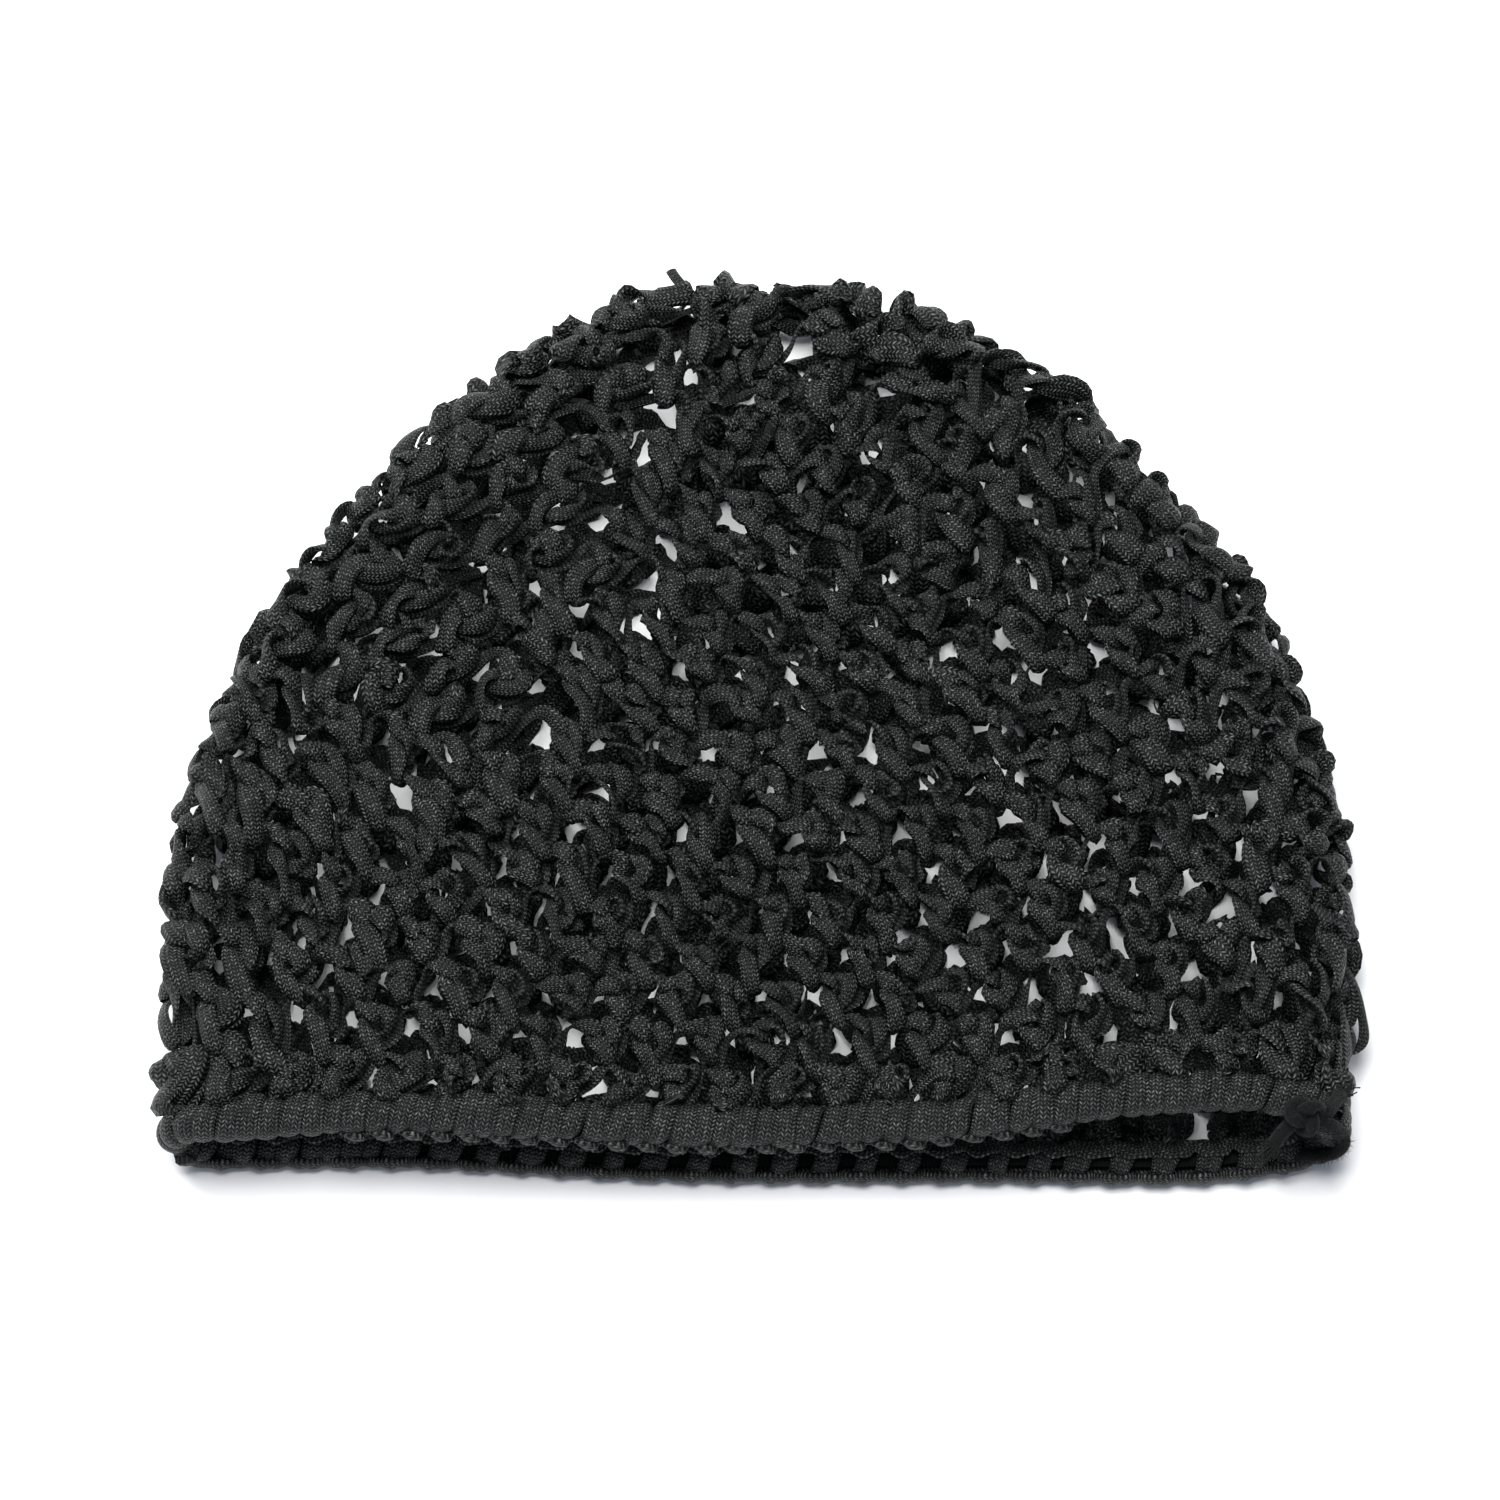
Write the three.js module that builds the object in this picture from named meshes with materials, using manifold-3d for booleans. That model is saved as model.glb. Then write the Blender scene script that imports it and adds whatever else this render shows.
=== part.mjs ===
// Hair net crocheted from black knitted ribbon, lying flat with its mouth towards -Y.
// Millimetres, +Z up. The origin is on the surface it lies on, under the middle of the net.

import * as THREE from "three";
import { mergeVertices } from "three/addons/utils/BufferGeometryUtils.js";
import Module from "manifold-3d";

const wasm = await Module();
wasm.setup();

// Driving dimensions
const WALL = 4.2; // crocheted wall, face to face
const RIDGE = 0.9; // how far the chain of each round stands proud
const FOLD_RADIUS = 7; // middle of the wall at the side folds and the top fold
const CLEARANCE = 0.3; // between neighbouring pieces
const BAND_RADIUS = 3.2; // outside of the rolled rim
const BAND_SIDES = 10;
const TUNNEL_RADIUS = 1.5; // run of the elastic inside the rolled rim
const CORD_RADIUS = 1.1; // round elastic
const CORD_SIDES = 6;
const TAIL_SIDES = 8;
const TAIL_STEPS = 3;

// Stitches are gathered into columns, half of them on each layer
const COLUMNS = 56;
const HALF = COLUMNS / 2;
const FOLD_COLUMNS = 2; // columns beside each fold that are cut in two, so that the fold is round

// One row for each round of crochet, from the start at the crown to the rim: where the middle of the
// wall meets the right and the left fold, and how far down it lies in the middle of each layer.
const ROUNDS = [
  { rightX: 0, rightY: 71.9, leftX: 0, leftY: 71.9, upperY: 71.9, lowerY: 71.9 },
  { rightX: 20, rightY: 69, leftX: -19, leftY: 70, upperY: 56, lowerY: 56 },
  { rightX: 38, rightY: 60.5, leftX: -36.5, leftY: 60.5, upperY: 41, lowerY: 41 },
  { rightX: 54.5, rightY: 49.5, leftX: -52, leftY: 48.5, upperY: 25.5, lowerY: 25.5 },
  { rightX: 67.5, rightY: 34, leftX: -65, leftY: 33.5, upperY: 10, lowerY: 10 },
  { rightX: 79, rightY: 17.5, leftX: -77, leftY: 17, upperY: -5, lowerY: -5 },
  { rightX: 86.5, rightY: -1, leftX: -85.5, leftY: -1, upperY: -20.5, lowerY: -20.5 },
  { rightX: 90.5, rightY: -21, leftX: -91, leftY: -21, upperY: -36, lowerY: -36 },
  { rightX: 91.5, rightY: -41, leftX: -92, leftY: -41.5, upperY: -51, lowerY: -51.5 },
  { rightX: 90, rightY: -65, leftX: -92, leftY: -66, upperY: -66.5, lowerY: -68.3 },
];
const LAST_ROUND = ROUNDS.length - 1;

// The rounds bow down between the folds: a parabola at the crown, a straight line with turned-up ends
// at the rim. These are the powers of the bow.
const CROWN_BOW = 2;
const RIM_BOW = 5;

// Swells and hollows of the upper layer: the round and the side (-1 left, 1 right) where each is
// highest, its height, and how far it spreads along the rounds and across.
const SWELLS = [
  { round: 9, side: 0.6, lift: 3, reach: 2.2, spread: 0.3 },
  { round: 9, side: -0.55, lift: 2.4, reach: 2.2, spread: 0.3 },
  { round: 9, side: 0.02, lift: -0.6, reach: 1.6, spread: 0.22 },
  { round: 4.6, side: -0.3, lift: 1.1, reach: 1.6, spread: 0.35 },
  { round: 5.2, side: 0.45, lift: 1.3, reach: 1.4, spread: 0.3 },
];

// Where a layer is pushed up towards the crown near the rim: the round and the side where that is most,
// how far, and how far it spreads along the rounds and across.
const TUCKS = {
  upper: [
    { round: 9, side: 0.85, shift: 4.6, reach: 2.2, spread: 0.38 },
    { round: 9, side: -0.62, shift: 1.8, reach: 2.2, spread: 0.3 },
  ],
  lower: [
    { round: 9, side: -0.62, shift: 2.5, reach: 1.8, spread: 0.35 },
    { round: 9, side: 0.8, shift: -1.2, reach: 1.8, spread: 0.25 },
  ],
};
const TUCK_END = 16; // power of the side at which a tuck runs out before the fold

// Where the rows of the net lie within a round: the foot of the chain, its ridge, and its other foot,
// after which the gaps between the stitches begin.
const CHAIN_RIDGE = 0.2;
const CHAIN_END = 0.42;
const LAST_GAP_END = 0.86;
const CELL = 4; // columns from one gap to the next
const GAP_COLUMNS = 2;
const FIRST_OPEN_ROUND = 1;

// Elastic knot: its column, the way it leaves the rolled rim, and its two tails.
const KNOT_COLUMN = 1.5;
const KNOT_TURN = THREE.MathUtils.degToRad(36);
const KNOT_LIFT = 6.4;
const KNOT_RADIUS = 1.7;
const KNOT_CORD = 0.85;
const KNOT_STEPS = 32;
const KNOT_SIDES = 5;
const STUB_RADIUS = 0.8;
const TAIL_ENDS = [
  { bend: new THREE.Vector3(89.5, -68.5, 20), end: new THREE.Vector3(94.1, -63, 14.5) },
  { bend: new THREE.Vector3(81.5, -71.5, 20.5), end: new THREE.Vector3(79.5, -73.8, 17.5) },
];

const LOWER_Z = WALL / 2;
const UPPER_Z = LOWER_Z + 2 * FOLD_RADIUS;
const BAND_LOWER_Z = BAND_RADIUS * Math.cos(Math.PI / BAND_SIDES);
const DOWN_THE_WALL = new THREE.Vector3(0, -1, 0);
const CROWN_NORMAL = new THREE.Vector3(0, 1, 0);

// Value of one column of the table of rounds at a fractional round, on a smooth curve.
function atRound(column, round) {
  const first = Math.min(Math.floor(round), LAST_ROUND - 1);
  const t = round - first;
  const value = (row) => ROUNDS[THREE.MathUtils.clamp(row, 0, LAST_ROUND)][column];
  const before = value(first - 1);
  const from = value(first);
  const to = value(first + 1);
  const after = value(first + 2);
  const slopeFrom = (to - before) / 2;
  const slopeTo = (after - from) / 2;
  const rise = to - from;
  const bend = 3 * rise - 2 * slopeFrom - slopeTo;
  const twist = slopeFrom + slopeTo - 2 * rise;
  return from + t * (slopeFrom + t * (bend + t * twist));
}

// Line of the folds, from the rim at the left over the crown to the rim at the right, with a straight
// run past the rim at both ends.
const FOLD_STEPS = 8;
const FOLD_RUN_OUT = 20;

function foldLine() {
  const points = [];
  for (let step = LAST_ROUND * FOLD_STEPS; step > 0; step -= 1) {
    const round = step / FOLD_STEPS;
    points.push(new THREE.Vector2(atRound("leftX", round), atRound("leftY", round)));
  }
  for (let step = 0; step <= LAST_ROUND * FOLD_STEPS; step += 1) {
    const round = step / FOLD_STEPS;
    points.push(new THREE.Vector2(atRound("rightX", round), atRound("rightY", round)));
  }
  const runOut = new THREE.Vector2(0, -FOLD_RUN_OUT);
  points.unshift(points[0].clone().add(runOut));
  points.push(points.at(-1).clone().add(runOut));
  return points;
}

const FOLD = foldLine();

function distanceToFold(point) {
  let nearest = Infinity;
  for (let i = 0; i + 1 < FOLD.length; i += 1) {
    const run = FOLD[i + 1].clone().sub(FOLD[i]);
    const part = THREE.MathUtils.clamp(point.clone().sub(FOLD[i]).dot(run) / run.lengthSq(), 0, 1);
    nearest = Math.min(nearest, FOLD[i].clone().addScaledVector(run, part).distanceTo(point));
  }
  return nearest;
}

function swell(round, side) {
  let height = 0;
  for (const hump of SWELLS) {
    const along = (round - hump.round) / hump.reach;
    const across = (side - hump.side) / hump.spread;
    height += hump.lift * Math.exp(-along * along - across * across);
  }
  return height;
}

function tuck(layer, round, side) {
  let shift = 0;
  for (const push of TUCKS[layer]) {
    const along = (round - push.round) / push.reach;
    const across = (side - push.side) / push.spread;
    const fade = Math.max(1 - (along * along) / 4, 0) ** 4;
    shift += push.shift * fade * Math.exp(-across * across);
  }
  return shift * (1 - side ** TUCK_END);
}

function bow(round, side) {
  const power = THREE.MathUtils.lerp(CROWN_BOW, RIM_BOW, (round / LAST_ROUND) ** 4);
  return Math.abs(side) ** power;
}

// One layer of a round, from fold to fold. In plan it bows through both folds and the middle, and near
// a fold it rounds over into the other layer.
const LAYER_STEPS = 60;

function layerCurve(round, layer, lowZ, highZ) {
  const right = new THREE.Vector2(atRound("rightX", round), atRound("rightY", round));
  const left = new THREE.Vector2(atRound("leftX", round), atRound("leftY", round));
  const centre = right.clone().add(left).multiplyScalar(0.5);
  const middle = new THREE.Vector2(centre.x, atRound(layer === "upper" ? "upperY" : "lowerY", round));
  const reach = right.clone().sub(left).multiplyScalar(0.5);
  const dip = centre.clone().sub(middle);
  const radius = (highZ - lowZ) / 2;
  const points = [];
  for (let step = 0; step <= LAYER_STEPS; step += 1) {
    const turn = (Math.PI * step) / LAYER_STEPS;
    const side = layer === "upper" ? Math.cos(turn) : -Math.cos(turn);
    const plan = middle.clone().addScaledVector(reach, side).addScaledVector(dip, bow(round, side));
    plan.y += tuck(layer, round, side);
    const inwards = Math.min(distanceToFold(plan) / radius, 1);
    const rise = Math.sqrt(1 - (1 - inwards) ** 2);
    const height = layer === "upper" ? radius + swell(round, side) : -radius;
    points.push(new THREE.Vector3(plan.x, plan.y, lowZ + radius + height * rise));
  }
  const curve = new THREE.CatmullRomCurve3(points);
  curve.arcLengthDivisions = LAYER_STEPS * 10;
  return curve;
}

// Stations round the net, counted in columns from the right fold over the upper layer.
function columnStations() {
  const stations = [];
  for (let column = 0; column < COLUMNS; column += 1) {
    const fromFold = column % HALF;
    const besideFold = fromFold < FOLD_COLUMNS || fromFold >= HALF - FOLD_COLUMNS;
    stations.push(column);
    if (besideFold) {
      stations.push(column + 0.5);
    }
  }
  return stations;
}

const STATIONS = columnStations();

function roundPoints(round, lowZ, highZ) {
  const upper = layerCurve(round, "upper", lowZ, highZ);
  const lower = layerCurve(round, "lower", lowZ, highZ);
  return STATIONS.map((station) =>
    station < HALF ? upper.getPointAt(station / HALF) : lower.getPointAt((station - HALF) / HALF),
  );
}

// Closed skin over a grid of stations and rows. A skin with an inner face is a wall, which is cut
// through wherever open(station index, row) holds, and is closed along its open edges.
function gridSolid({ outer, inner, rowsClosed, pole, open }) {
  const stationCount = outer.length;
  const rowCount = outer[0].length;
  const cellRows = rowsClosed ? rowCount : rowCount - 1;
  const positions = [];
  const triangle = (a, b, c) => {
    const flat = a.distanceTo(b) < 1e-6 || b.distanceTo(c) < 1e-6 || c.distanceTo(a) < 1e-6;
    if (!flat) {
      positions.push(...a.toArray(), ...b.toArray(), ...c.toArray());
    }
  };
  const isOpen = (station, row) => {
    if (!rowsClosed && row < 0) {
      return !pole;
    }
    if (!rowsClosed && row >= cellRows) {
      return true;
    }
    return open((station + stationCount) % stationCount, (row + rowCount) % rowCount);
  };
  for (let station = 0; station < stationCount; station += 1) {
    for (let row = 0; row < cellRows; row += 1) {
      if (isOpen(station, row)) {
        continue;
      }
      const nextStation = (station + 1) % stationCount;
      const nextRow = (row + 1) % rowCount;
      const corners = [
        [station, row],
        [nextStation, row],
        [nextStation, nextRow],
        [station, nextRow],
      ];
      const [a, b, c, d] = corners.map(([i, j]) => outer[i][j]);
      triangle(a, b, c);
      triangle(a, c, d);
      if (!inner) {
        continue;
      }
      const [e, f, g, h] = corners.map(([i, j]) => inner[i][j]);
      triangle(e, g, f);
      triangle(e, h, g);
      const sides = [
        [a, b, e, f, isOpen(station, row - 1)],
        [b, c, f, g, isOpen(station + 1, row)],
        [c, d, g, h, isOpen(station, row + 1)],
        [d, a, h, e, isOpen(station - 1, row)],
      ];
      for (const [from, to, innerFrom, innerTo, edgeOpen] of sides) {
        if (edgeOpen) {
          triangle(to, from, innerFrom);
          triangle(to, innerFrom, innerTo);
        }
      }
    }
  }
  const geometry = new THREE.BufferGeometry();
  geometry.setAttribute("position", new THREE.Float32BufferAttribute(positions, 3));
  return geometry;
}

function toManifold(geometry) {
  const bare = geometry.clone();
  bare.deleteAttribute("normal");
  bare.deleteAttribute("uv");
  const merged = mergeVertices(bare, 1e-4);
  return new wasm.Manifold(
    new wasm.Mesh({
      numProp: 3,
      vertProperties: new Float32Array(merged.attributes.position.array),
      triVerts: new Uint32Array(merged.index.array),
    }),
  );
}

function joined(geometries) {
  const solid = geometries.map(toManifold).reduce((whole, piece) => whole.add(piece));
  const mesh = solid.getMesh();
  const geometry = new THREE.BufferGeometry();
  geometry.setAttribute("position", new THREE.BufferAttribute(mesh.vertProperties, 3));
  geometry.setIndex(new THREE.BufferAttribute(mesh.triVerts, 1));
  return geometry;
}

function shaded(geometry) {
  geometry.computeVertexNormals();
  return geometry;
}

// Rows of the crown: three for each round, and a closing one above the rolled rim.
function crownRows() {
  const rows = [];
  for (let round = 0; round < LAST_ROUND; round += 1) {
    rows.push({ round, proud: 0, gap: false });
    rows.push({ round: round + CHAIN_RIDGE, proud: RIDGE, gap: false });
    rows.push({ round: round + CHAIN_END, proud: 0, gap: round >= FIRST_OPEN_ROUND });
  }
  rows.push({ round: LAST_ROUND - 1 + LAST_GAP_END, proud: 0, gap: false });
  rows.push({ round: LAST_ROUND, proud: 0, gap: false });
  return rows;
}

// Whether a column is open in a round: the gaps step sideways from each round to the next, and there
// are half as many where the crown draws in.
function gapColumn(column, round) {
  const cell = round === FIRST_OPEN_ROUND ? 2 * CELL : CELL;
  const shift = round % 2 === 0 ? GAP_COLUMNS : 0;
  return (column + shift) % cell < GAP_COLUMNS;
}

function crownGeometry() {
  const rows = crownRows();
  const rings = rows.map((row) => roundPoints(row.round, LOWER_Z, UPPER_Z));
  const count = STATIONS.length;
  const outer = [];
  const inner = [];
  for (let station = 0; station < count; station += 1) {
    outer.push([]);
    inner.push([]);
    for (let row = 0; row < rows.length; row += 1) {
      const point = rings[row][station];
      const around = rings[row][(station + 1) % count].clone().sub(rings[row][(station + count - 1) % count]);
      const above = rings[Math.max(row - 1, 0)][station];
      const below = rings[Math.min(row + 1, rows.length - 1)][station];
      const down = below.clone().sub(above);
      const normal = row === 0 ? CROWN_NORMAL : around.cross(down).normalize();
      const face = point.clone().addScaledVector(normal, WALL / 2 + rows[row].proud);
      face.z = Math.max(face.z, 0);
      outer[station].push(face);
      inner[station].push(point.clone().addScaledVector(normal, -WALL / 2));
    }
  }
  const open = (station, row) => {
    const column = Math.floor(STATIONS[station]);
    return rows[row].gap && gapColumn(column, Math.floor(rows[row].round));
  };
  return gridSolid({ outer, inner, rowsClosed: false, pole: true, open });
}

// Line that the rolled rim and its elastic follow, with the frame of its section at each station.
function rimFrames() {
  const drop = DOWN_THE_WALL.clone().multiplyScalar(BAND_RADIUS + CLEARANCE);
  const points = roundPoints(LAST_ROUND, BAND_LOWER_Z, UPPER_Z).map((point) => point.add(drop));
  return points.map((point, station) => {
    const next = points[(station + 1) % points.length];
    const previous = points[(station + points.length - 1) % points.length];
    const along = next.clone().sub(previous).normalize();
    const out = along.clone().cross(DOWN_THE_WALL).normalize();
    const down = out.clone().cross(along);
    return { point, out, down };
  });
}

function rimPoint(frame, radius, turn) {
  return frame.point
    .clone()
    .addScaledVector(frame.out, radius * Math.cos(turn))
    .addScaledVector(frame.down, radius * Math.sin(turn));
}

function rimRings(frames, radius, sides) {
  return frames.map((frame) => {
    const section = [];
    for (let side = 0; side < sides; side += 1) {
      const point = rimPoint(frame, radius, ((side + 0.5) * 2 * Math.PI) / sides);
      point.z = Math.max(point.z, 0);
      section.push(point);
    }
    return section;
  });
}

// The rolled rim is open to the inside between every other pair of wraps of the lower layer, and over
// three sides of its section where the knot comes out.
const INNER_SIDE = BAND_SIDES / 2 - 1;
const KNOT_HOLE_SIDES = [BAND_SIDES - 1, 0, 1];

function bandGeometry(frames) {
  const open = (station, side) => {
    const column = Math.floor(STATIONS[station]);
    const ladder = column >= HALF && column % 2 === 1 && side === INNER_SIDE;
    const knotHole = column === Math.floor(KNOT_COLUMN) && KNOT_HOLE_SIDES.includes(side);
    return ladder || knotHole;
  };
  return gridSolid({
    outer: rimRings(frames, BAND_RADIUS, BAND_SIDES),
    inner: rimRings(frames, TUNNEL_RADIUS, BAND_SIDES),
    rowsClosed: true,
    pole: false,
    open,
  });
}

function cordTube(points, radius) {
  const section = [];
  for (let side = 0; side < TAIL_SIDES; side += 1) {
    const turn = (side * 2 * Math.PI) / TAIL_SIDES;
    section.push(new THREE.Vector2(radius * Math.cos(turn), radius * Math.sin(turn)));
  }
  return new THREE.ExtrudeGeometry(new THREE.Shape(section), {
    steps: TAIL_STEPS * (points.length - 1),
    extrudePath: new THREE.CatmullRomCurve3(points),
  });
}

function elasticGeometry(frames) {
  const ring = gridSolid({
    outer: rimRings(frames, CORD_RADIUS, CORD_SIDES),
    rowsClosed: true,
    pole: false,
    open: () => false,
  });
  const frame = frames[STATIONS.indexOf(KNOT_COLUMN)];
  const centre = rimPoint(frame, KNOT_LIFT, KNOT_TURN);
  const knot = new THREE.TorusKnotGeometry(KNOT_RADIUS, KNOT_CORD, KNOT_STEPS, KNOT_SIDES, 2, 3);
  knot.lookAt(centre.clone().sub(frame.point));
  knot.translate(centre.x, centre.y, centre.z);
  const tails = TAIL_ENDS.map(({ bend, end }) => cordTube([centre, bend, end], CORD_RADIUS));
  const stub = cordTube([frame.point, centre], STUB_RADIUS);
  return joined([ring, stub, knot, ...tails]);
}

function piece(name, geometry, color, roughness) {
  const material = new THREE.MeshStandardMaterial({ color, roughness, metalness: 0 });
  const mesh = new THREE.Mesh(shaded(geometry), material);
  mesh.name = name;
  return mesh;
}

const frames = rimFrames();
const net = new THREE.Group();
net.add(piece("crown_net", crownGeometry(), 0x242526, 0.72));
net.add(piece("rim_band", bandGeometry(frames), 0x1f2021, 0.75));
net.add(piece("elastic_cord", elasticGeometry(frames), 0x17181a, 0.9));

export default net;
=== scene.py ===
"""Hair net crocheted from black knitted ribbon: what the eye sees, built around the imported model.

Lengths inside the classes are millimetres in the row frame, +Z up. Meshes are written in metres.
"""
import logging
import math
from dataclasses import dataclass
from enum import Enum

import bpy
import numpy as np
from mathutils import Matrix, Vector


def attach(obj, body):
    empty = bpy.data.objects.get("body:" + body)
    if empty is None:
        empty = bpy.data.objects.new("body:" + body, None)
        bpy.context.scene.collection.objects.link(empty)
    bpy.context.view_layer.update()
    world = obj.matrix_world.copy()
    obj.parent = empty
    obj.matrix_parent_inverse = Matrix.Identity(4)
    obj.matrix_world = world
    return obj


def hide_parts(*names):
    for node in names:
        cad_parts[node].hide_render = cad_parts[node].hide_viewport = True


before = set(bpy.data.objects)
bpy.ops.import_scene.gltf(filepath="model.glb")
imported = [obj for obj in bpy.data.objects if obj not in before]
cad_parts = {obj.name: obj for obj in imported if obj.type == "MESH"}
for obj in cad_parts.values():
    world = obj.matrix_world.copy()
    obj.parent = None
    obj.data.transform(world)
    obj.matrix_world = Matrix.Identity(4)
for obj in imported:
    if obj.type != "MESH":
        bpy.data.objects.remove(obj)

Array = np.ndarray
Point = tuple[float, float, float]
LOG = logging.getLogger("hair_net")
MM = 0.001
SEED = 41
BODY = "root"
MATH = "ShaderNodeMath"


class Slot(Enum):
    """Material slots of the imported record."""

    RIBBON = "ribbon"
    ELASTIC = "elastic"


class Node(Enum):
    """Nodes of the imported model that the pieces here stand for."""

    CROWN = "crown_net"
    RIM = "rim_band"
    CORD = "elastic_cord"


class Layer(Enum):
    """The two layers of the flattened net: which way a round runs, and its column of the table."""

    UPPER = (1, 4)
    LOWER = (-1, 5)

    @property
    def way(self) -> int:
        """Side of the net where the round starts: 1 right, -1 left."""
        return self.value[0]

    @property
    def column(self) -> int:
        """Column of the table of rounds that holds the layer's middle."""
        return self.value[1]


def linear(colour: str) -> tuple[float, float, float, float]:
    """Converts an sRGB hex colour to the linear values that shaders take.

    Args:
        colour: six hex digits with a leading hash.

    Returns:
        Red, green, blue and an alpha of one.
    """
    parts = [int(colour[at : at + 2], 16) / 255 for at in (1, 3, 5)]
    red, green, blue = (p / 12.92 if p <= 0.04045 else ((p + 0.055) / 1.055) ** 2.4 for p in parts)
    return red, green, blue, 1.0


def unit(vectors: Array) -> Array:
    """Scales vectors to length one; a vector of no length stays as it is."""
    return vectors / np.maximum(np.linalg.norm(vectors, axis=-1, keepdims=True), 1e-9)


def resampled(line: Array, count: int) -> Array:
    """Lays points at equal distances along a line.

    Args:
        line: points of the line.
        count: how many points to lay, both ends included.

    Returns:
        The new points.
    """
    run = np.concatenate([[0.0], np.cumsum(np.linalg.norm(np.diff(line, axis=0), axis=1))])
    places = np.linspace(0, run[-1], count)
    return np.column_stack([np.interp(places, run, line[:, axis]) for axis in range(line.shape[1])])


def between(before: Array, start: Array, end: Array, after: Array, part: Array) -> Array:
    """Finds places on smooth curves that run from start to end as their neighbours lead them.

    Args:
        before: points that come before the starts.
        start: where the curves start.
        end: where the curves end.
        after: points that come after the ends.
        part: share of the way from start to end.

    Returns:
        The places.
    """
    slope_in, slope_out, rise = (end - before) / 2, (after - start) / 2, end - start
    bend, twist = 3 * rise - 2 * slope_in - slope_out, slope_in + slope_out - 2 * rise
    return start + part * (slope_in + part * (bend + part * twist))


def curved(points: Array, steps: int) -> Array:
    """Runs a smooth curve through points.

    Args:
        points: points on the curve; the first and the last only give the direction of its ends.
        steps: steps between neighbouring points.

    Returns:
        Points of the curve from the second point to the last but one.
    """
    part = np.linspace(0, 1, steps, endpoint=False)[None, :, None]
    runs = (p[:, None] for p in (points[:-3], points[1:-2], points[2:-1], points[3:]))
    return np.vstack([between(*runs, part).reshape(-1, points.shape[1]), points[-2:-1]])


def add_node(
    tree: bpy.types.NodeTree, kind: str, sockets: dict | None = None, **settings: object
) -> bpy.types.Node:
    """Adds a node to a tree.

    Args:
        tree: node tree to add to.
        kind: type of the node.
        sockets: input name or index to a value, to the output socket that feeds it, or to the node whose
            first output feeds it.
        settings: properties of the node.

    Returns:
        The new node.
    """
    node = tree.nodes.new(kind)
    for name, value in settings.items():
        setattr(node, name, value)
    for key, value in (sockets or {}).items():
        source = value.outputs[0] if isinstance(value, bpy.types.Node) else value
        if isinstance(source, bpy.types.NodeSocket):
            tree.links.new(source, node.inputs[key])
        else:
            node.inputs[key].default_value = source
    return node


@dataclass(frozen=True)
class RoundRow:
    """One round of the wall: where its middle meets the folds, and its lowest place on each layer."""

    right: tuple[float, float]
    left: tuple[float, float]
    upper: float
    lower: float


@dataclass(frozen=True)
class Swell:
    """A swell or hollow of the upper layer: where it is highest, its height and how far it spreads."""

    round_no: float
    side: float
    lift: float
    reach: float
    spread: float


@dataclass(frozen=True)
class Tuck:
    """A place where a layer is pushed up near the rim: where it is most, how far, and its spread."""

    layer: Layer
    round_no: float
    side: float
    shift: float
    reach: float
    spread: float


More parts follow.
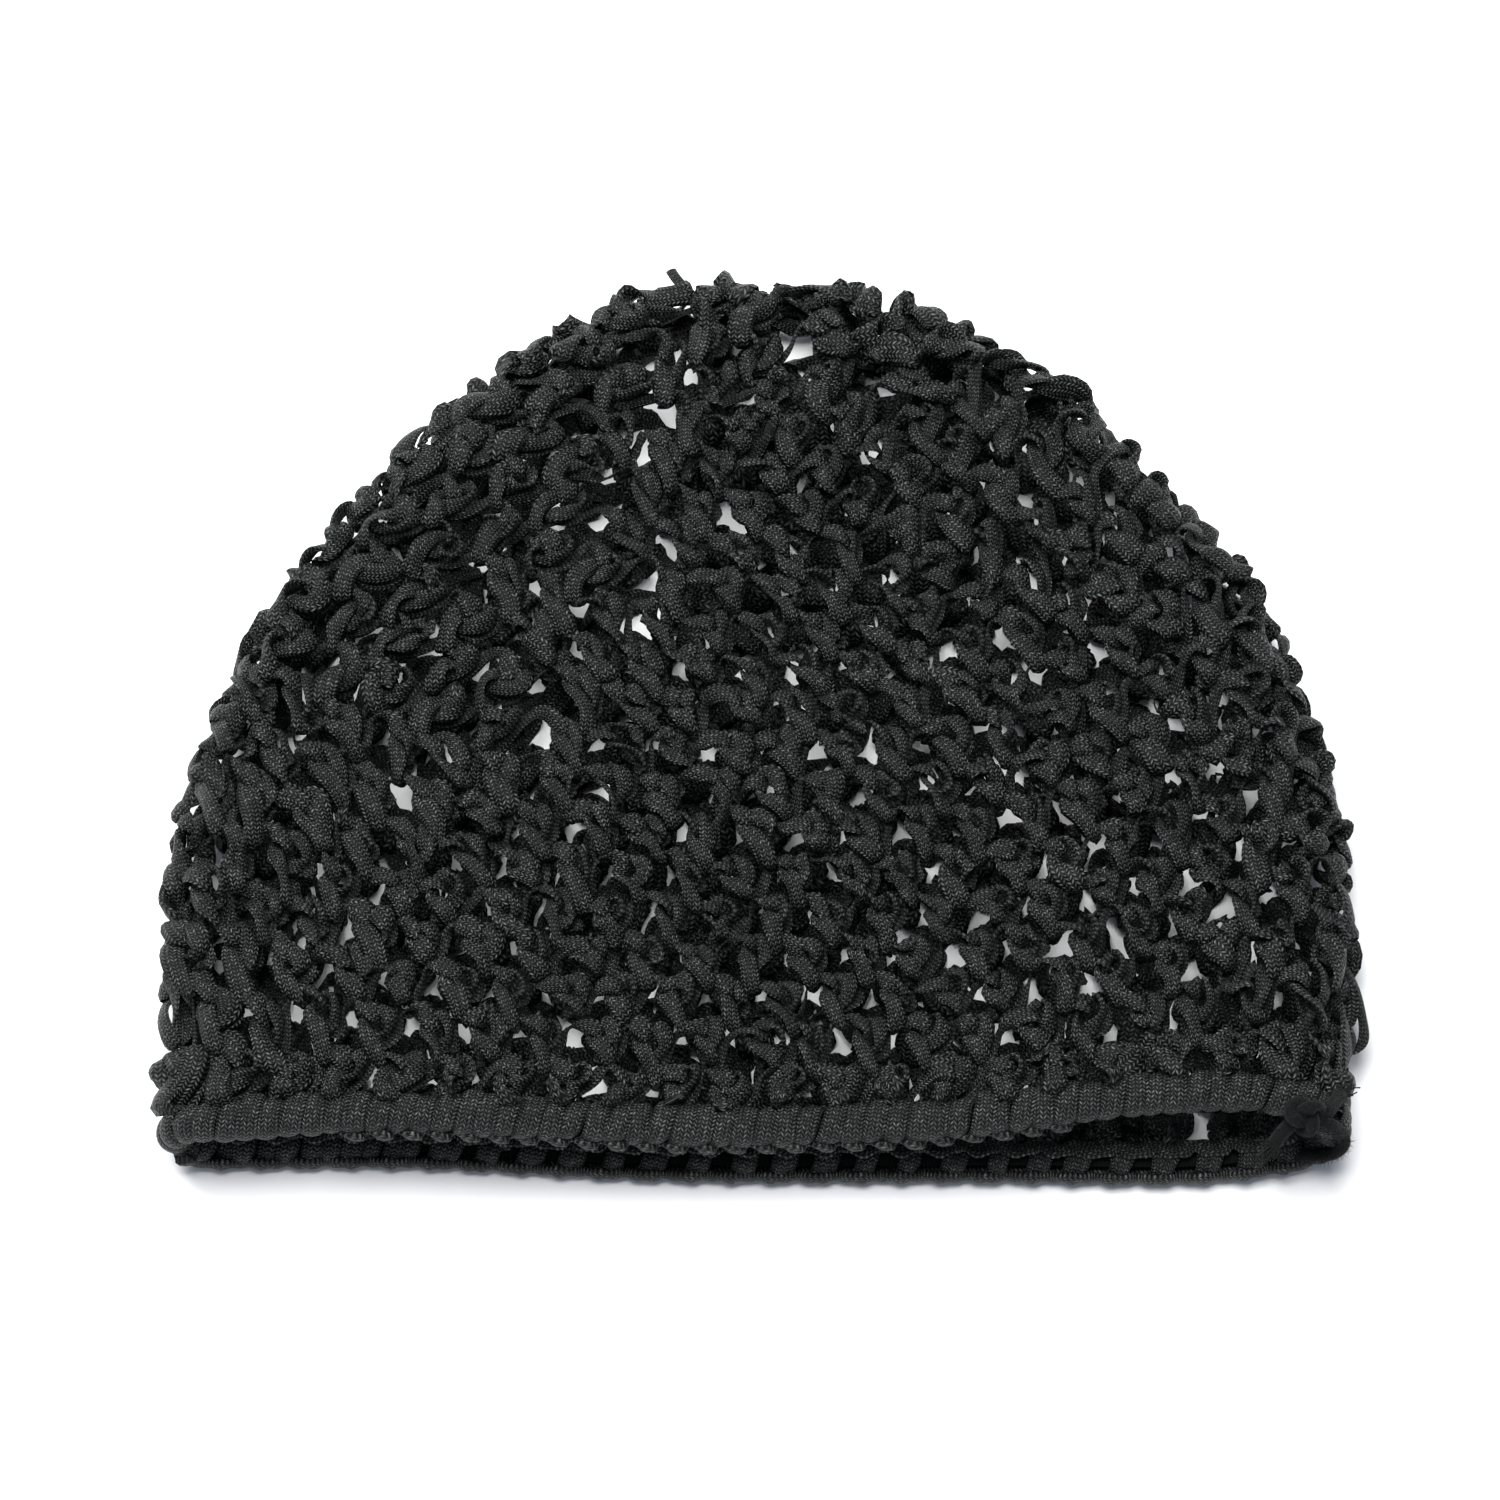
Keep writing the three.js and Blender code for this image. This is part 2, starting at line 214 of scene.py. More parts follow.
@dataclass(frozen=True)
class NetForm:
    """Form of the flattened net, round by round from the crown to the rim.

    Attributes:
        wall: thickness of a layer.
        fold_radius: radius of the fold that joins the layers.
        band_radius: radius of the rolled rim.
        band_drop: how far the rim's line lies past the last round.
        crown_bow: power of the curve that rounds near the crown follow from fold to fold.
        rim_bow: power of the curve that rounds near the rim follow from fold to fold.
        fold_steps: points of the fold's line from round to round.
        stations: points of a layer's half of a round before they are laid at equal distances.
        run_out: how far the fold's line runs on past the rim.
        rounds: the rounds from the crown to the rim.
        swells: swells and hollows of the upper layer.
        tucks: places where a layer is pushed up near the rim.
        tuck_end: power of the curve that ends the tucks at the folds.
    """

    wall: float = 4.2
    fold_radius: float = 7.0
    band_radius: float = 3.2
    band_drop: float = 3.5
    crown_bow: float = 2.0
    rim_bow: float = 5.0
    fold_steps: int = 8
    stations: int = 241
    run_out: float = 20.0
    rounds: tuple[RoundRow, ...] = (
        RoundRow((0, 71.9), (0, 71.9), 71.9, 71.9),
        RoundRow((20, 69), (-19, 70), 56, 56),
        RoundRow((38, 60.5), (-36.5, 60.5), 41, 41),
        RoundRow((54.5, 49.5), (-52, 48.5), 25.5, 25.5),
        RoundRow((67.5, 34), (-65, 33.5), 10, 10),
        RoundRow((79, 17.5), (-77, 17), -5, -5),
        RoundRow((86.5, -1), (-85.5, -1), -20.5, -20.5),
        RoundRow((90.5, -21), (-91, -21), -36, -36),
        RoundRow((91.5, -41), (-92, -41.5), -51, -51.5),
        RoundRow((90, -65), (-92, -66), -66.5, -68.3),
    )
    swells: tuple[Swell, ...] = (
        Swell(9, 0.6, 3, 2.2, 0.3),
        Swell(9, -0.55, 2.4, 2.2, 0.3),
        Swell(9, 0.02, -0.6, 1.6, 0.22),
        Swell(4.6, -0.3, 1.1, 1.6, 0.35),
        Swell(5.2, 0.45, 1.3, 1.4, 0.3),
    )
    tucks: tuple[Tuck, ...] = (
        Tuck(Layer.UPPER, 9, 0.85, 4.6, 2.2, 0.38),
        Tuck(Layer.UPPER, 9, -0.62, 1.8, 2.2, 0.3),
        Tuck(Layer.LOWER, 9, -0.62, 2.5, 1.8, 0.35),
        Tuck(Layer.LOWER, 9, 0.8, -1.2, 1.8, 0.25),
    )
    tuck_end: int = 16

    @property
    def last(self) -> int:
        """Number of the round at the rim."""
        return len(self.rounds) - 1

    @property
    def low(self) -> float:
        """Height of the middle of the lower layer."""
        return self.wall / 2

    @property
    def high(self) -> float:
        """Height of the middle of the upper layer where it lies flat."""
        return self.low + 2 * self.fold_radius

    def columns(self, rounds: Array) -> Array:
        """Reads the table of rounds on a smooth curve.

        Args:
            rounds: round numbers, whole or not.

        Returns:
            For each round the right and left fold points and the upper and lower middles.
        """
        rows = np.array([[*row.right, *row.left, row.upper, row.lower] for row in self.rounds], float)
        first = np.clip(np.floor(rounds).astype(int), 0, self.last - 1)
        ends = (rows[np.clip(first + k, 0, self.last)] for k in (-1, 0, 1, 2))
        return between(*ends, (rounds - first)[:, None])

    def inset(self, plan: Array) -> Array:
        """Measures how far points lie from the fold that runs round both sides and the top.

        Args:
            plan: points seen from above.

        Returns:
            Distance of each point from the fold.
        """
        table = self.columns(np.linspace(0, self.last, self.last * self.fold_steps + 1))
        line = np.vstack([table[:0:-1, 2:4], table[:, 0:2]])
        past = np.array([[0.0, -self.run_out]])
        line = np.vstack([line[:1] + past, line, line[-1:] + past])
        run = np.diff(line, axis=0)
        offset = plan[:, None] - line[:-1]
        part = np.clip((offset * run).sum(-1) / (run**2).sum(-1), 0, 1)
        return np.linalg.norm(offset - part[..., None] * run, axis=-1).min(1)

    def swell(self, round_no: float, side: Array) -> Array:
        """Adds up the swells of the upper layer along a round.

        Args:
            round_no: number of the round.
            side: places from -1 at the left fold to 1 at the right fold.

        Returns:
            Height of the swell at each place.
        """
        height = np.zeros_like(side)
        for hump in self.swells:
            along = (round_no - hump.round_no) / hump.reach
            across = (side - hump.side) / hump.spread
            height += hump.lift * np.exp(-(along**2) - across**2)
        return height

    def tuck(self, layer: Layer, round_no: float, side: Array) -> Array:
        """Adds up the tucks of a layer along a round.

        Args:
            layer: which layer of the net.
            round_no: number of the round.
            side: places from -1 at the left fold to 1 at the right fold.

        Returns:
            How far each place is pushed up.
        """
        shift = np.zeros_like(side)
        for push in self.tucks:
            if push.layer is layer:
                # A smooth hump that ends at twice its reach, so that the crown's top stays closed.
                fade = max(1 - ((round_no - push.round_no) / push.reach) ** 2 / 4, 0) ** 4
                shift += push.shift * fade * np.exp(-(((side - push.side) / push.spread) ** 2))
        return shift * (1 - side**self.tuck_end)

    def ring(self, round_no: float, low: float, high: float, count: int) -> Array:
        """Lays points round the net along one round.

        Args:
            round_no: number of the round, whole or not.
            low: height of the lower layer.
            high: height of the upper layer.
            count: how many points, half of them on each layer.

        Returns:
            The points, from the right fold over the upper layer and back along the lower one.
        """
        row = self.columns(np.array([round_no]))[0]
        centre, reach = (row[0:2] + row[2:4]) / 2, (row[0:2] - row[2:4]) / 2
        radius = (high - low) / 2
        power = self.crown_bow + (self.rim_bow - self.crown_bow) * (round_no / self.last) ** 4
        halves = []
        for layer in Layer:
            side = layer.way * np.cos(np.linspace(0, np.pi, self.stations))
            middle = np.array([centre[0], row[layer.column]])
            bow = np.abs(side) ** power
            plan = middle + side[:, None] * reach + bow[:, None] * (centre - middle)
            plan[:, 1] += self.tuck(layer, round_no, side)
            rise = np.sqrt(1 - (1 - np.minimum(self.inset(plan) / radius, 1)) ** 2)
            height = radius + self.swell(round_no, side) if layer is Layer.UPPER else -radius
            line = np.column_stack([plan, low + radius + height * rise])
            halves.append(resampled(line, count // 2 + 1)[:-1])
        return np.vstack(halves)


class NetSurface:
    """Middle of the net's wall as a fine grid, to lay stitches on.

    The grid's first round, its end past the rim and its step are in rounds of the form.
    """

    FIRST = 0.1
    BEYOND = 0.45
    STEP = 0.1
    STATIONS = 240

    def __init__(self, form: NetForm) -> None:
        """Makes the grid.

        Args:
            form: form of the net.
        """
        self.form = form
        self.rounds = np.arange(self.FIRST, form.last + self.BEYOND, self.STEP)
        self.points = np.stack([form.ring(r, form.low, form.high, self.STATIONS) for r in self.rounds])
        around = np.roll(self.points, -1, 1) - np.roll(self.points, 1, 1)
        self.normals = unit(np.cross(around, np.gradient(self.points, axis=0)))
        self.girths = np.linalg.norm(np.roll(self.points, -1, 1) - self.points, axis=2).sum(1)

    def girth(self, rounds: Array | float) -> Array | float:
        """Distance all the way round the net at rounds."""
        return np.interp(rounds, self.rounds, self.girths)

    def place(self, rounds: Array, turns: Array, lifts: Array) -> tuple[Array, Array]:
        """Finds points on the net.

        Args:
            rounds: round number of each point.
            turns: share of the way round from the right fold over the upper layer.
            lifts: height over the middle of the wall, outwards.

        Returns:
            The points, and the outward direction at each.
        """
        row = np.clip((rounds - self.FIRST) / self.STEP, 0, len(self.rounds) - 1.001)
        column = np.mod(turns, 1) * self.STATIONS
        i, j = np.floor(row).astype(int), np.floor(column).astype(int) % self.STATIONS
        a, b = (row - i)[:, None], (column - np.floor(column))[:, None]
        k = (j + 1) % self.STATIONS

        def mixed(grid: Array) -> Array:
            """Value between the four grid points round each place."""
            return (1 - a) * ((1 - b) * grid[i, j] + b * grid[i, k]) + a * (
                (1 - b) * grid[i + 1, j] + b * grid[i + 1, k]
            )

        normals = unit(mixed(self.normals))
        return mixed(self.points) + lifts[:, None] * normals, normals


@dataclass
class Strand:
    """Path of a ribbon or cord: its points, the way its flat side faces, and its scale."""

    points: Array
    flats: Array
    gather: Array
    closed: bool

    @classmethod
    def ribbon(
        cls, points: Array, faces: Array, closed: bool, pull: float = 0.1, bend: float = 2.2
    ) -> "Strand":
        """Turns a ribbon about its path the way a tape lies: bent over its flat side, not on edge.

        Args:
            points: points of the path.
            faces: way that the flat side faces on straight runs.
            closed: whether the path runs into itself.
            pull: how strongly straight runs keep to faces.
            bend: how strongly bends turn the ribbon over its flat side.

        Returns:
            The strand.
        """
        # sharpest is the most curl that counts, in radians a millimetre; hold is how much turn a point keeps
        sharpest, rounds, hold = 0.9, 70, 0.5
        ahead, behind = np.roll(points, -1, 0), np.roll(points, 1, 0)
        if not closed:
            ahead[-1], behind[0] = points[-1], points[0]
        along = unit(ahead - behind)
        pitch = np.linalg.norm(ahead - behind, axis=1, keepdims=True) / 2
        curl = (np.roll(along, -1, 0) - np.roll(along, 1, 0)) / np.maximum(2 * pitch, 1e-6)
        if not closed:
            curl[0], curl[-1] = curl[1], curl[-2]
        curl *= np.minimum(1, sharpest / np.maximum(np.linalg.norm(curl, axis=1, keepdims=True), 1e-9))
        faces = unit(faces - (faces * along).sum(1, keepdims=True) * along)
        flats = faces.copy()
        for _ in range(rounds):
            before, after = np.roll(flats, 1, 0), np.roll(flats, -1, 0)
            if not closed:
                before[0], after[-1] = flats[0], flats[-1]
            wanted = bend * (curl * flats).sum(1, keepdims=True) * curl
            wanted += pull * (faces * flats).sum(1, keepdims=True) * faces
            flats = before + after + hold * flats + wanted
            flats = unit(flats - (flats * along).sum(1, keepdims=True) * along)
        return cls(points, flats, np.ones(len(points)), closed)

    @classmethod
    def cord(cls, points: Array, facing: Array, closed: bool) -> "Strand":
        """Round strand, whose sections all face one way or each its own."""
        return cls(points, np.broadcast_to(facing, points.shape), np.ones(len(points)), closed)

    def twist(self, rng: np.random.Generator, degrees: float) -> None:
        """Twists and gathers the ribbon unevenly along its path.

        Args:
            rng: source of the unevenness.
            degrees: usual turn away from lying flat.
        """
        # the longest and shortest waves are in points of the path
        waves, longest, shortest, phases, uneven = 16, 40, 10, 6.3, 0.035
        count = len(self.points)
        place = np.arange(count)[:, None] / count
        angle = 2 * np.pi * place * rng.integers(count // longest, count // shortest, waves)
        sway = np.sin(angle + rng.uniform(0, phases, waves)).sum(1)
        turn = math.radians(degrees) * math.sqrt(2 / waves) * sway
        along = unit(np.roll(self.points, -1, 0) - np.roll(self.points, 1, 0))
        side = np.cross(along, self.flats)
        self.flats = np.cos(turn)[:, None] * self.flats + np.sin(turn)[:, None] * side
        self.gather = 1 + uneven * np.sin(angle + rng.uniform(0, phases, waves)).sum(1)

    @property
    def lengths(self) -> Array:
        """Distance along the path to each point."""
        return np.concatenate([[0.0], np.cumsum(np.linalg.norm(np.diff(self.points, axis=0), axis=1))])


@dataclass(frozen=True)
class Section:
    """Section of a ribbon or cord: its size, how far its edges curl over, and its corners."""

    width: float
    thickness: float
    cup: float = 0.0
    sides: int = 10


class NodeTool:
    """Geometry Nodes tree with named inputs, whose result is kept as a plain mesh."""

    def __init__(self, name: str, kinds: dict[str, str]) -> None:
        """Makes the tree and its inputs.

        Args:
            name: name of the tree.
            kinds: name of each input to the kind of its socket.
        """
        self.tree = bpy.data.node_groups.new(name, "GeometryNodeTree")
        face = self.tree.interface
        face.new_socket("Geometry", in_out="OUTPUT", socket_type="NodeSocketGeometry")
        face.new_socket("Geometry", in_out="INPUT", socket_type="NodeSocketGeometry")
        self.inputs = {
            key: face.new_socket(key, in_out="INPUT", socket_type=f"NodeSocket{kind}").identifier
            for key, kind in kinds.items()
        }

    def end(self, shape: bpy.types.Node, finish: bpy.types.NodeSocket) -> None:
        """Ends the tree: instances made real, and the finish set.

        Args:
            shape: node that gives the shape.
            finish: input that holds the material.
        """
        real = add_node(self.tree, "GeometryNodeRealizeInstances", {"Geometry": shape})
        dressed = add_node(self.tree, "GeometryNodeSetMaterial", {"Geometry": real, "Material": finish})
        add_node(self.tree, "NodeGroupOutput", {"Geometry": dressed})

    def run(self, name: str, host: bpy.types.Object, settings: dict) -> bpy.types.Object:
        """Runs the tree on a host and makes a plain piece of the result.

        Args:
            name: name of the piece.
            host: object whose mesh goes into the tree.
            settings: input name to its value.

        Returns:
            The piece.
        """
        modifier = host.modifiers.new(self.tree.name, "NODES")
        modifier.node_group = self.tree
        for key, value in settings.items():
            modifier[self.inputs[key]] = value
        bpy.context.view_layer.update()
        graph = bpy.context.evaluated_depsgraph_get()
        mesh = bpy.data.meshes.new_from_object(host.evaluated_get(graph))
        mesh.name = name
        host.modifiers.remove(modifier)
        piece = bpy.data.objects.new(name, mesh)
        bpy.context.scene.collection.objects.link(piece)
        return piece


class PathSweep(NodeTool):
    """Tree that draws a section along paths, none of it lower than the ground height."""

    GROUND = 0.05

    def __init__(self) -> None:
        """Builds the tree: path, section, sweep, finish."""
        sizes = dict.fromkeys(("Half Width", "Half Thickness", "Cup"), "Float")
        super().__init__("section_along_path", {**sizes, "Sides": "Int", "Finish": "Material"})
        tree = self.tree
        given = add_node(tree, "NodeGroupInput").outputs
        path = add_node(tree, "GeometryNodeMeshToCurve", {"Mesh": given["Geometry"]})
        flat = add_node(tree, "GeometryNodeInputNamedAttribute", {"Name": "flat"}, data_type="FLOAT_VECTOR")
        gather = add_node(tree, "GeometryNodeInputNamedAttribute", {"Name": "gather"}, data_type="FLOAT")
        turned = add_node(
            tree,
            "GeometryNodeSetCurveNormal",
            {"Curve": path, "Normal": flat.outputs["Attribute"]},
            mode="FREE",
        )
        circle = add_node(
            tree, "GeometryNodeCurvePrimitiveCircle", {"Resolution": given["Sides"], "Radius": 1.0}
        )
        place = add_node(tree, "GeometryNodeInputPosition")
        split = add_node(tree, "ShaderNodeSeparateXYZ", {"Vector": place}).outputs
        marked = add_node(
            tree,
            "GeometryNodeStoreNamedAttribute",
            {"Geometry": circle, "Name": "across", "Value": split["Y"]},
            data_type="FLOAT",
            domain="POINT",
        )
        wide = add_node(tree, MATH, {0: split["Y"], 1: given["Half Width"]}, operation="MULTIPLY")
        thick = add_node(tree, MATH, {0: split["X"], 1: given["Half Thickness"]}, operation="MULTIPLY")
        edge = add_node(tree, MATH, {0: split["Y"], 1: 2.0}, operation="POWER")
        bowed = add_node(tree, MATH, {0: edge, 1: given["Cup"]}, operation="MULTIPLY")
        deep = add_node(tree, MATH, {0: thick, 1: bowed}, operation="ADD")
        shape = add_node(tree, "ShaderNodeCombineXYZ", {"X": deep, "Y": wide, "Z": 0.0})
        section = add_node(tree, "GeometryNodeSetPosition", {"Geometry": marked, "Position": shape})
        swept = add_node(
            tree,
            "GeometryNodeCurveToMesh",
            {
                "Curve": turned,
                "Profile Curve": section,
                "Scale": gather.outputs["Attribute"],
                "Fill Caps": True,
            },
        )
        self.end(add_node(tree, "GeometryNodeSetShadeSmooth", {"Geometry": swept}), given["Finish"])

    def draw(
        self, name: str, strands: list[Strand], section: Section, finish: bpy.types.Material
    ) -> bpy.types.Object:
        """Draws a section along strands as one plain mesh that stays above the floor.

        Args:
            name: name of the piece.
            strands: the paths.
            section: section to draw along them.
            finish: material of the piece.

        Returns:
            The piece.
        """
        path = self._path(name + "_path", strands)
        settings = {
            "Half Width": section.width * MM / 2,
            "Half Thickness": section.thickness * MM / 2,
            "Cup": section.cup * MM,
            "Sides": section.sides,
            "Finish": finish,
        }
        piece = self.run(name, path, settings)
        vertices = piece.data.vertices
        places = np.empty(3 * len(vertices), np.float32)
        vertices.foreach_get("co", places)
        places[2::3] = np.maximum(places[2::3], self.GROUND * MM)
        vertices.foreach_set("co", places)
        mesh = path.data
        bpy.data.objects.remove(path)
        bpy.data.meshes.remove(mesh)
        return piece

    def _path(self, name: str, strands: list[Strand]) -> bpy.types.Object:
        """Makes the host of the tree: strands as edges, with what the tree reads at their points.

        Args:
            name: name of the host.
            strands: the paths.

        Returns:
            The host.
        """
        edges, start = [], 0
        for strand in strands:
            count = len(strand.points)
            order = np.arange(count)
            pairs = np.column_stack([order, np.roll(order, -1)]) + start
            edges.append(pairs if strand.closed else pairs[:-1])
            start += count
        points = np.vstack([strand.points for strand in strands]) * MM
        mesh = bpy.data.meshes.new(name)
        mesh.from_pydata(points.tolist(), np.vstack(edges).tolist(), [])
        values = {
            "flat": np.vstack([strand.flats for strand in strands]),
            "gather": np.concatenate([strand.gather for strand in strands]),
            "along": np.concatenate([strand.lengths for strand in strands]),
        }
        for key, value in values.items():
            vector = value.ndim == 2
            attribute = mesh.attributes.new(key, "FLOAT_VECTOR" if vector else "FLOAT", "POINT")
            attribute.data.foreach_set("vector" if vector else "value", value.astype(np.float32).ravel())
        path = bpy.data.objects.new(name, mesh)
        bpy.context.scene.collection.objects.link(path)
        return path


class FluffScatter(NodeTool):
    """Tree that sets fine hairs on a surface, leaning and spun by angles in radians."""

    PER_SQUARE_METRE = 8.0e6
    LENGTH = 1.1
    THICKNESS = 0.035
    LEAN = 1.1
    SPIN = 6.0
    SHORTEST = 0.4
    LONGEST = 1.2

    def __init__(self) -> None:
        """Builds the tree: spots, hairs that lean all ways, finish."""
        sizes = dict.fromkeys(("Density", "Length", "Thickness"), "Float")
        super().__init__("hairs_on_surface", {**sizes, "Seed": "Int", "Finish": "Material"})
        tree = self.tree
        given = add_node(tree, "NodeGroupInput").outputs
        spots = add_node(
            tree,
            "GeometryNodeDistributePointsOnFaces",
            {"Mesh": given["Geometry"], "Density": given["Density"], "Seed": given["Seed"]},
        )
        hair = add_node(
            tree,
            "GeometryNodeMeshCone",
            {
                "Vertices": 3,
                "Radius Top": 0.0,
                "Radius Bottom": given["Thickness"],
                "Depth": given["Length"],
            },
        )
        tilt = add_node(
            tree,
            "FunctionNodeRandomValue",
            {
                "Min": (-self.LEAN, -self.LEAN, 0.0),
                "Max": (self.LEAN, self.LEAN, self.SPIN),
                "Seed": given["Seed"],
            },
            data_type="FLOAT_VECTOR",
        )
        turn = add_node(tree, "FunctionNodeEulerToRotation", {"Euler": tilt.outputs["Value"]})
        leaning = add_node(
            tree,
            "FunctionNodeRotateRotation",
            {"Rotation": spots.outputs["Rotation"], "Rotate By": turn},
            rotation_space="LOCAL",
        )
        size = add_node(
            tree,
            "FunctionNodeRandomValue",
            {2: self.SHORTEST, 3: self.LONGEST, "Seed": given["Seed"]},
            data_type="FLOAT",
        )
        hairs = add_node(
            tree,
            "GeometryNodeInstanceOnPoints",
            {"Points": spots, "Instance": hair, "Rotation": leaning, "Scale": size.outputs[1]},
        )
        self.end(hairs, given["Finish"])

    def grow(self, name: str, skin: bpy.types.Object, finish: bpy.types.Material) -> bpy.types.Object:
        """Grows hairs on a piece.

        Args:
            name: name of the new piece.
            skin: piece that the hairs stand on.
            finish: material of the hairs.

        Returns:
            The piece of hairs.
        """
        settings = {
            "Density": self.PER_SQUARE_METRE,
            "Length": self.LENGTH * MM,
            "Thickness": self.THICKNESS * MM,
            "Seed": SEED,
            "Finish": finish,
        }
        return self.run(name, skin, settings)


def bare_material(name: str) -> bpy.types.Material:
    """Makes a material with an empty node tree.

    Args:
        name: name of the material.

    Returns:
        The material.
    """
    material = bpy.data.materials.new(name)
    material.use_nodes = True
    material.node_tree.nodes.clear()
    return material


@dataclass(frozen=True)
class KnittedRibbonFinish:
    """Black tape knitted from viscose, painted charcoal where light falls on the crests of its loops and
    near black where shade falls between them.

    It gives the eye a fine V grain along each strand, with loops here and there that catch the light.

    Attributes:
        name: name of the material.
        dark: painted shade between loops.
        light: painted light on the crests of loops.
        glint: colour of loops that catch the light.
        legs: legs of loops across the tape.
        course: distance from row to row.
        slant: rows that a leg climbs.
        crisp: power that draws the painted light to the crests of loops.
        furrow: height between columns of loops, as a share of their own.
        glint_odds: power that makes glints rare.
        glint_share: share of the glint's colour at most.
        patch: size of worn and matt patches.
        patch_low: share of the light colour in the darkest patch.
        patch_rise: how much that grows to the lightest patch.
        specular: strength of the reflection.
        roughness: roughness of the thread.
        relief: height of loops.
        relief_strength: how strongly the height shades.
    """

    name: str = "knitted_viscose_tape_black"
    dark: str = "#040505"
    light: str = "#3f4240"
    glint: str = "#8e928e"
    # The real tape has loops with legs about 0.35 mm wide, in rows about 0.5 mm apart. They are drawn a
    # little coarser, with seven legs across 2.8 mm and rows 0.66 mm apart, so that they show in the render.
    legs: float = 7.0
    course: float = 0.66
    slant: float = 0.7
    crisp: float = 2.0
    furrow: float = 0.25
    glint_odds: float = 3.0
    glint_share: float = 0.5
    # Real patches are about as long as a stitch.
    patch: float = 6.25
    patch_low: float = 0.45
    patch_rise: float = 1.1
    specular: float = 0.16
    roughness: float = 0.45
    relief: float = 0.35
    relief_strength: float = 0.8

    def make(self) -> bpy.types.Material:
        """Builds the material.

        Returns:
            The material.
        """
        material = bare_material(self.name)
        tree = material.node_tree
        along = add_node(tree, "ShaderNodeAttribute", attribute_name="along").outputs["Fac"]
        across = add_node(tree, "ShaderNodeAttribute", attribute_name="across").outputs["Fac"]
        leg = add_node(tree, MATH, {0: across, 1: self.legs / 2}, operation="MULTIPLY")
        course = add_node(tree, MATH, {0: along, 1: 1 / self.course}, operation="MULTIPLY")
        climb = add_node(tree, MATH, {0: leg, 1: 1.0}, operation="PINGPONG")
        row = add_node(tree, MATH, {0: climb, 1: self.slant, 2: course}, operation="MULTIPLY_ADD")
        row_angle = add_node(tree, MATH, {0: row, 1: 2 * math.pi}, operation="MULTIPLY")
        row_wave = add_node(tree, MATH, {0: row_angle}, operation="COSINE")
        stripe = add_node(tree, MATH, {0: row_wave, 1: 0.5, 2: 0.5}, operation="MULTIPLY_ADD")
        leg_angle = add_node(tree, MATH, {0: leg, 1: math.pi}, operation="MULTIPLY")
        leg_wave = add_node(tree, MATH, {0: leg_angle}, operation="SINE")
        ridge = add_node(tree, MATH, {0: leg_wave}, operation="ABSOLUTE")
        raised = add_node(
            tree, MATH, {0: ridge, 1: 1 - self.furrow, 2: self.furrow}, operation="MULTIPLY_ADD"
        )
        height = add_node(tree, MATH, {0: stripe, 1: raised}, operation="MULTIPLY")
        crest = add_node(tree, MATH, {0: height, 1: self.crisp}, operation="POWER")
        row_middle = add_node(tree, MATH, {0: row, 1: 0.5}, operation="ADD")
        row_number = add_node(tree, MATH, {0: row_middle}, operation="FLOOR")
        leg_number = add_node(tree, MATH, {0: leg}, operation="FLOOR")
        loop = add_node(tree, "ShaderNodeCombineXYZ", {"X": row_number, "Y": leg_number, "Z": 0.0})
        chance = add_node(tree, "ShaderNodeTexWhiteNoise", {"Vector": loop}).outputs["Value"]
        odds = add_node(tree, MATH, {0: chance, 1: self.glint_odds}, operation="POWER")
        spark = add_node(tree, MATH, {0: odds, 1: crest}, operation="MULTIPLY")
        place = add_node(tree, "ShaderNodeTexCoord").outputs["Object"]
        patch = add_node(
            tree, "ShaderNodeTexNoise", {"Vector": place, "Scale": 1 / (self.patch * MM), "Detail": 3.0}
        )
        worn = add_node(
            tree,
            MATH,
            {0: patch.outputs["Fac"], 1: self.patch_rise, 2: self.patch_low},
            operation="MULTIPLY_ADD",
        )
        # painted light and shade: the crests of the loops get the light colour, the hollows between them the
        # dark one
        lit = add_node(tree, MATH, {0: crest, 1: worn}, operation="MULTIPLY")
        base = add_node(
            tree,
            "ShaderNodeMix",
            {"Factor": lit, "A": linear(self.dark), "B": linear(self.light)},
            data_type="RGBA",
        )
        glints = add_node(tree, MATH, {0: spark, 1: self.glint_share}, operation="MULTIPLY")
        colour = add_node(
            tree,
            "ShaderNodeMix",
            {"Factor": glints, "A": base.outputs["Result"], "B": linear(self.glint)},
            data_type="RGBA",
        )
        bump = add_node(
            tree,
            "ShaderNodeBump",
            {"Height": height, "Strength": self.relief_strength, "Distance": self.relief * MM},
        )
        shader = add_node(
            tree,
            "ShaderNodeBsdfPrincipled",
            {
                "Base Color": colour.outputs["Result"],
                "Roughness": self.roughness,
                "Specular IOR Level": self.specular,
                "Normal": bump,
            },
        )
        add_node(tree, "ShaderNodeOutputMaterial", {"Surface": shader})
        return material


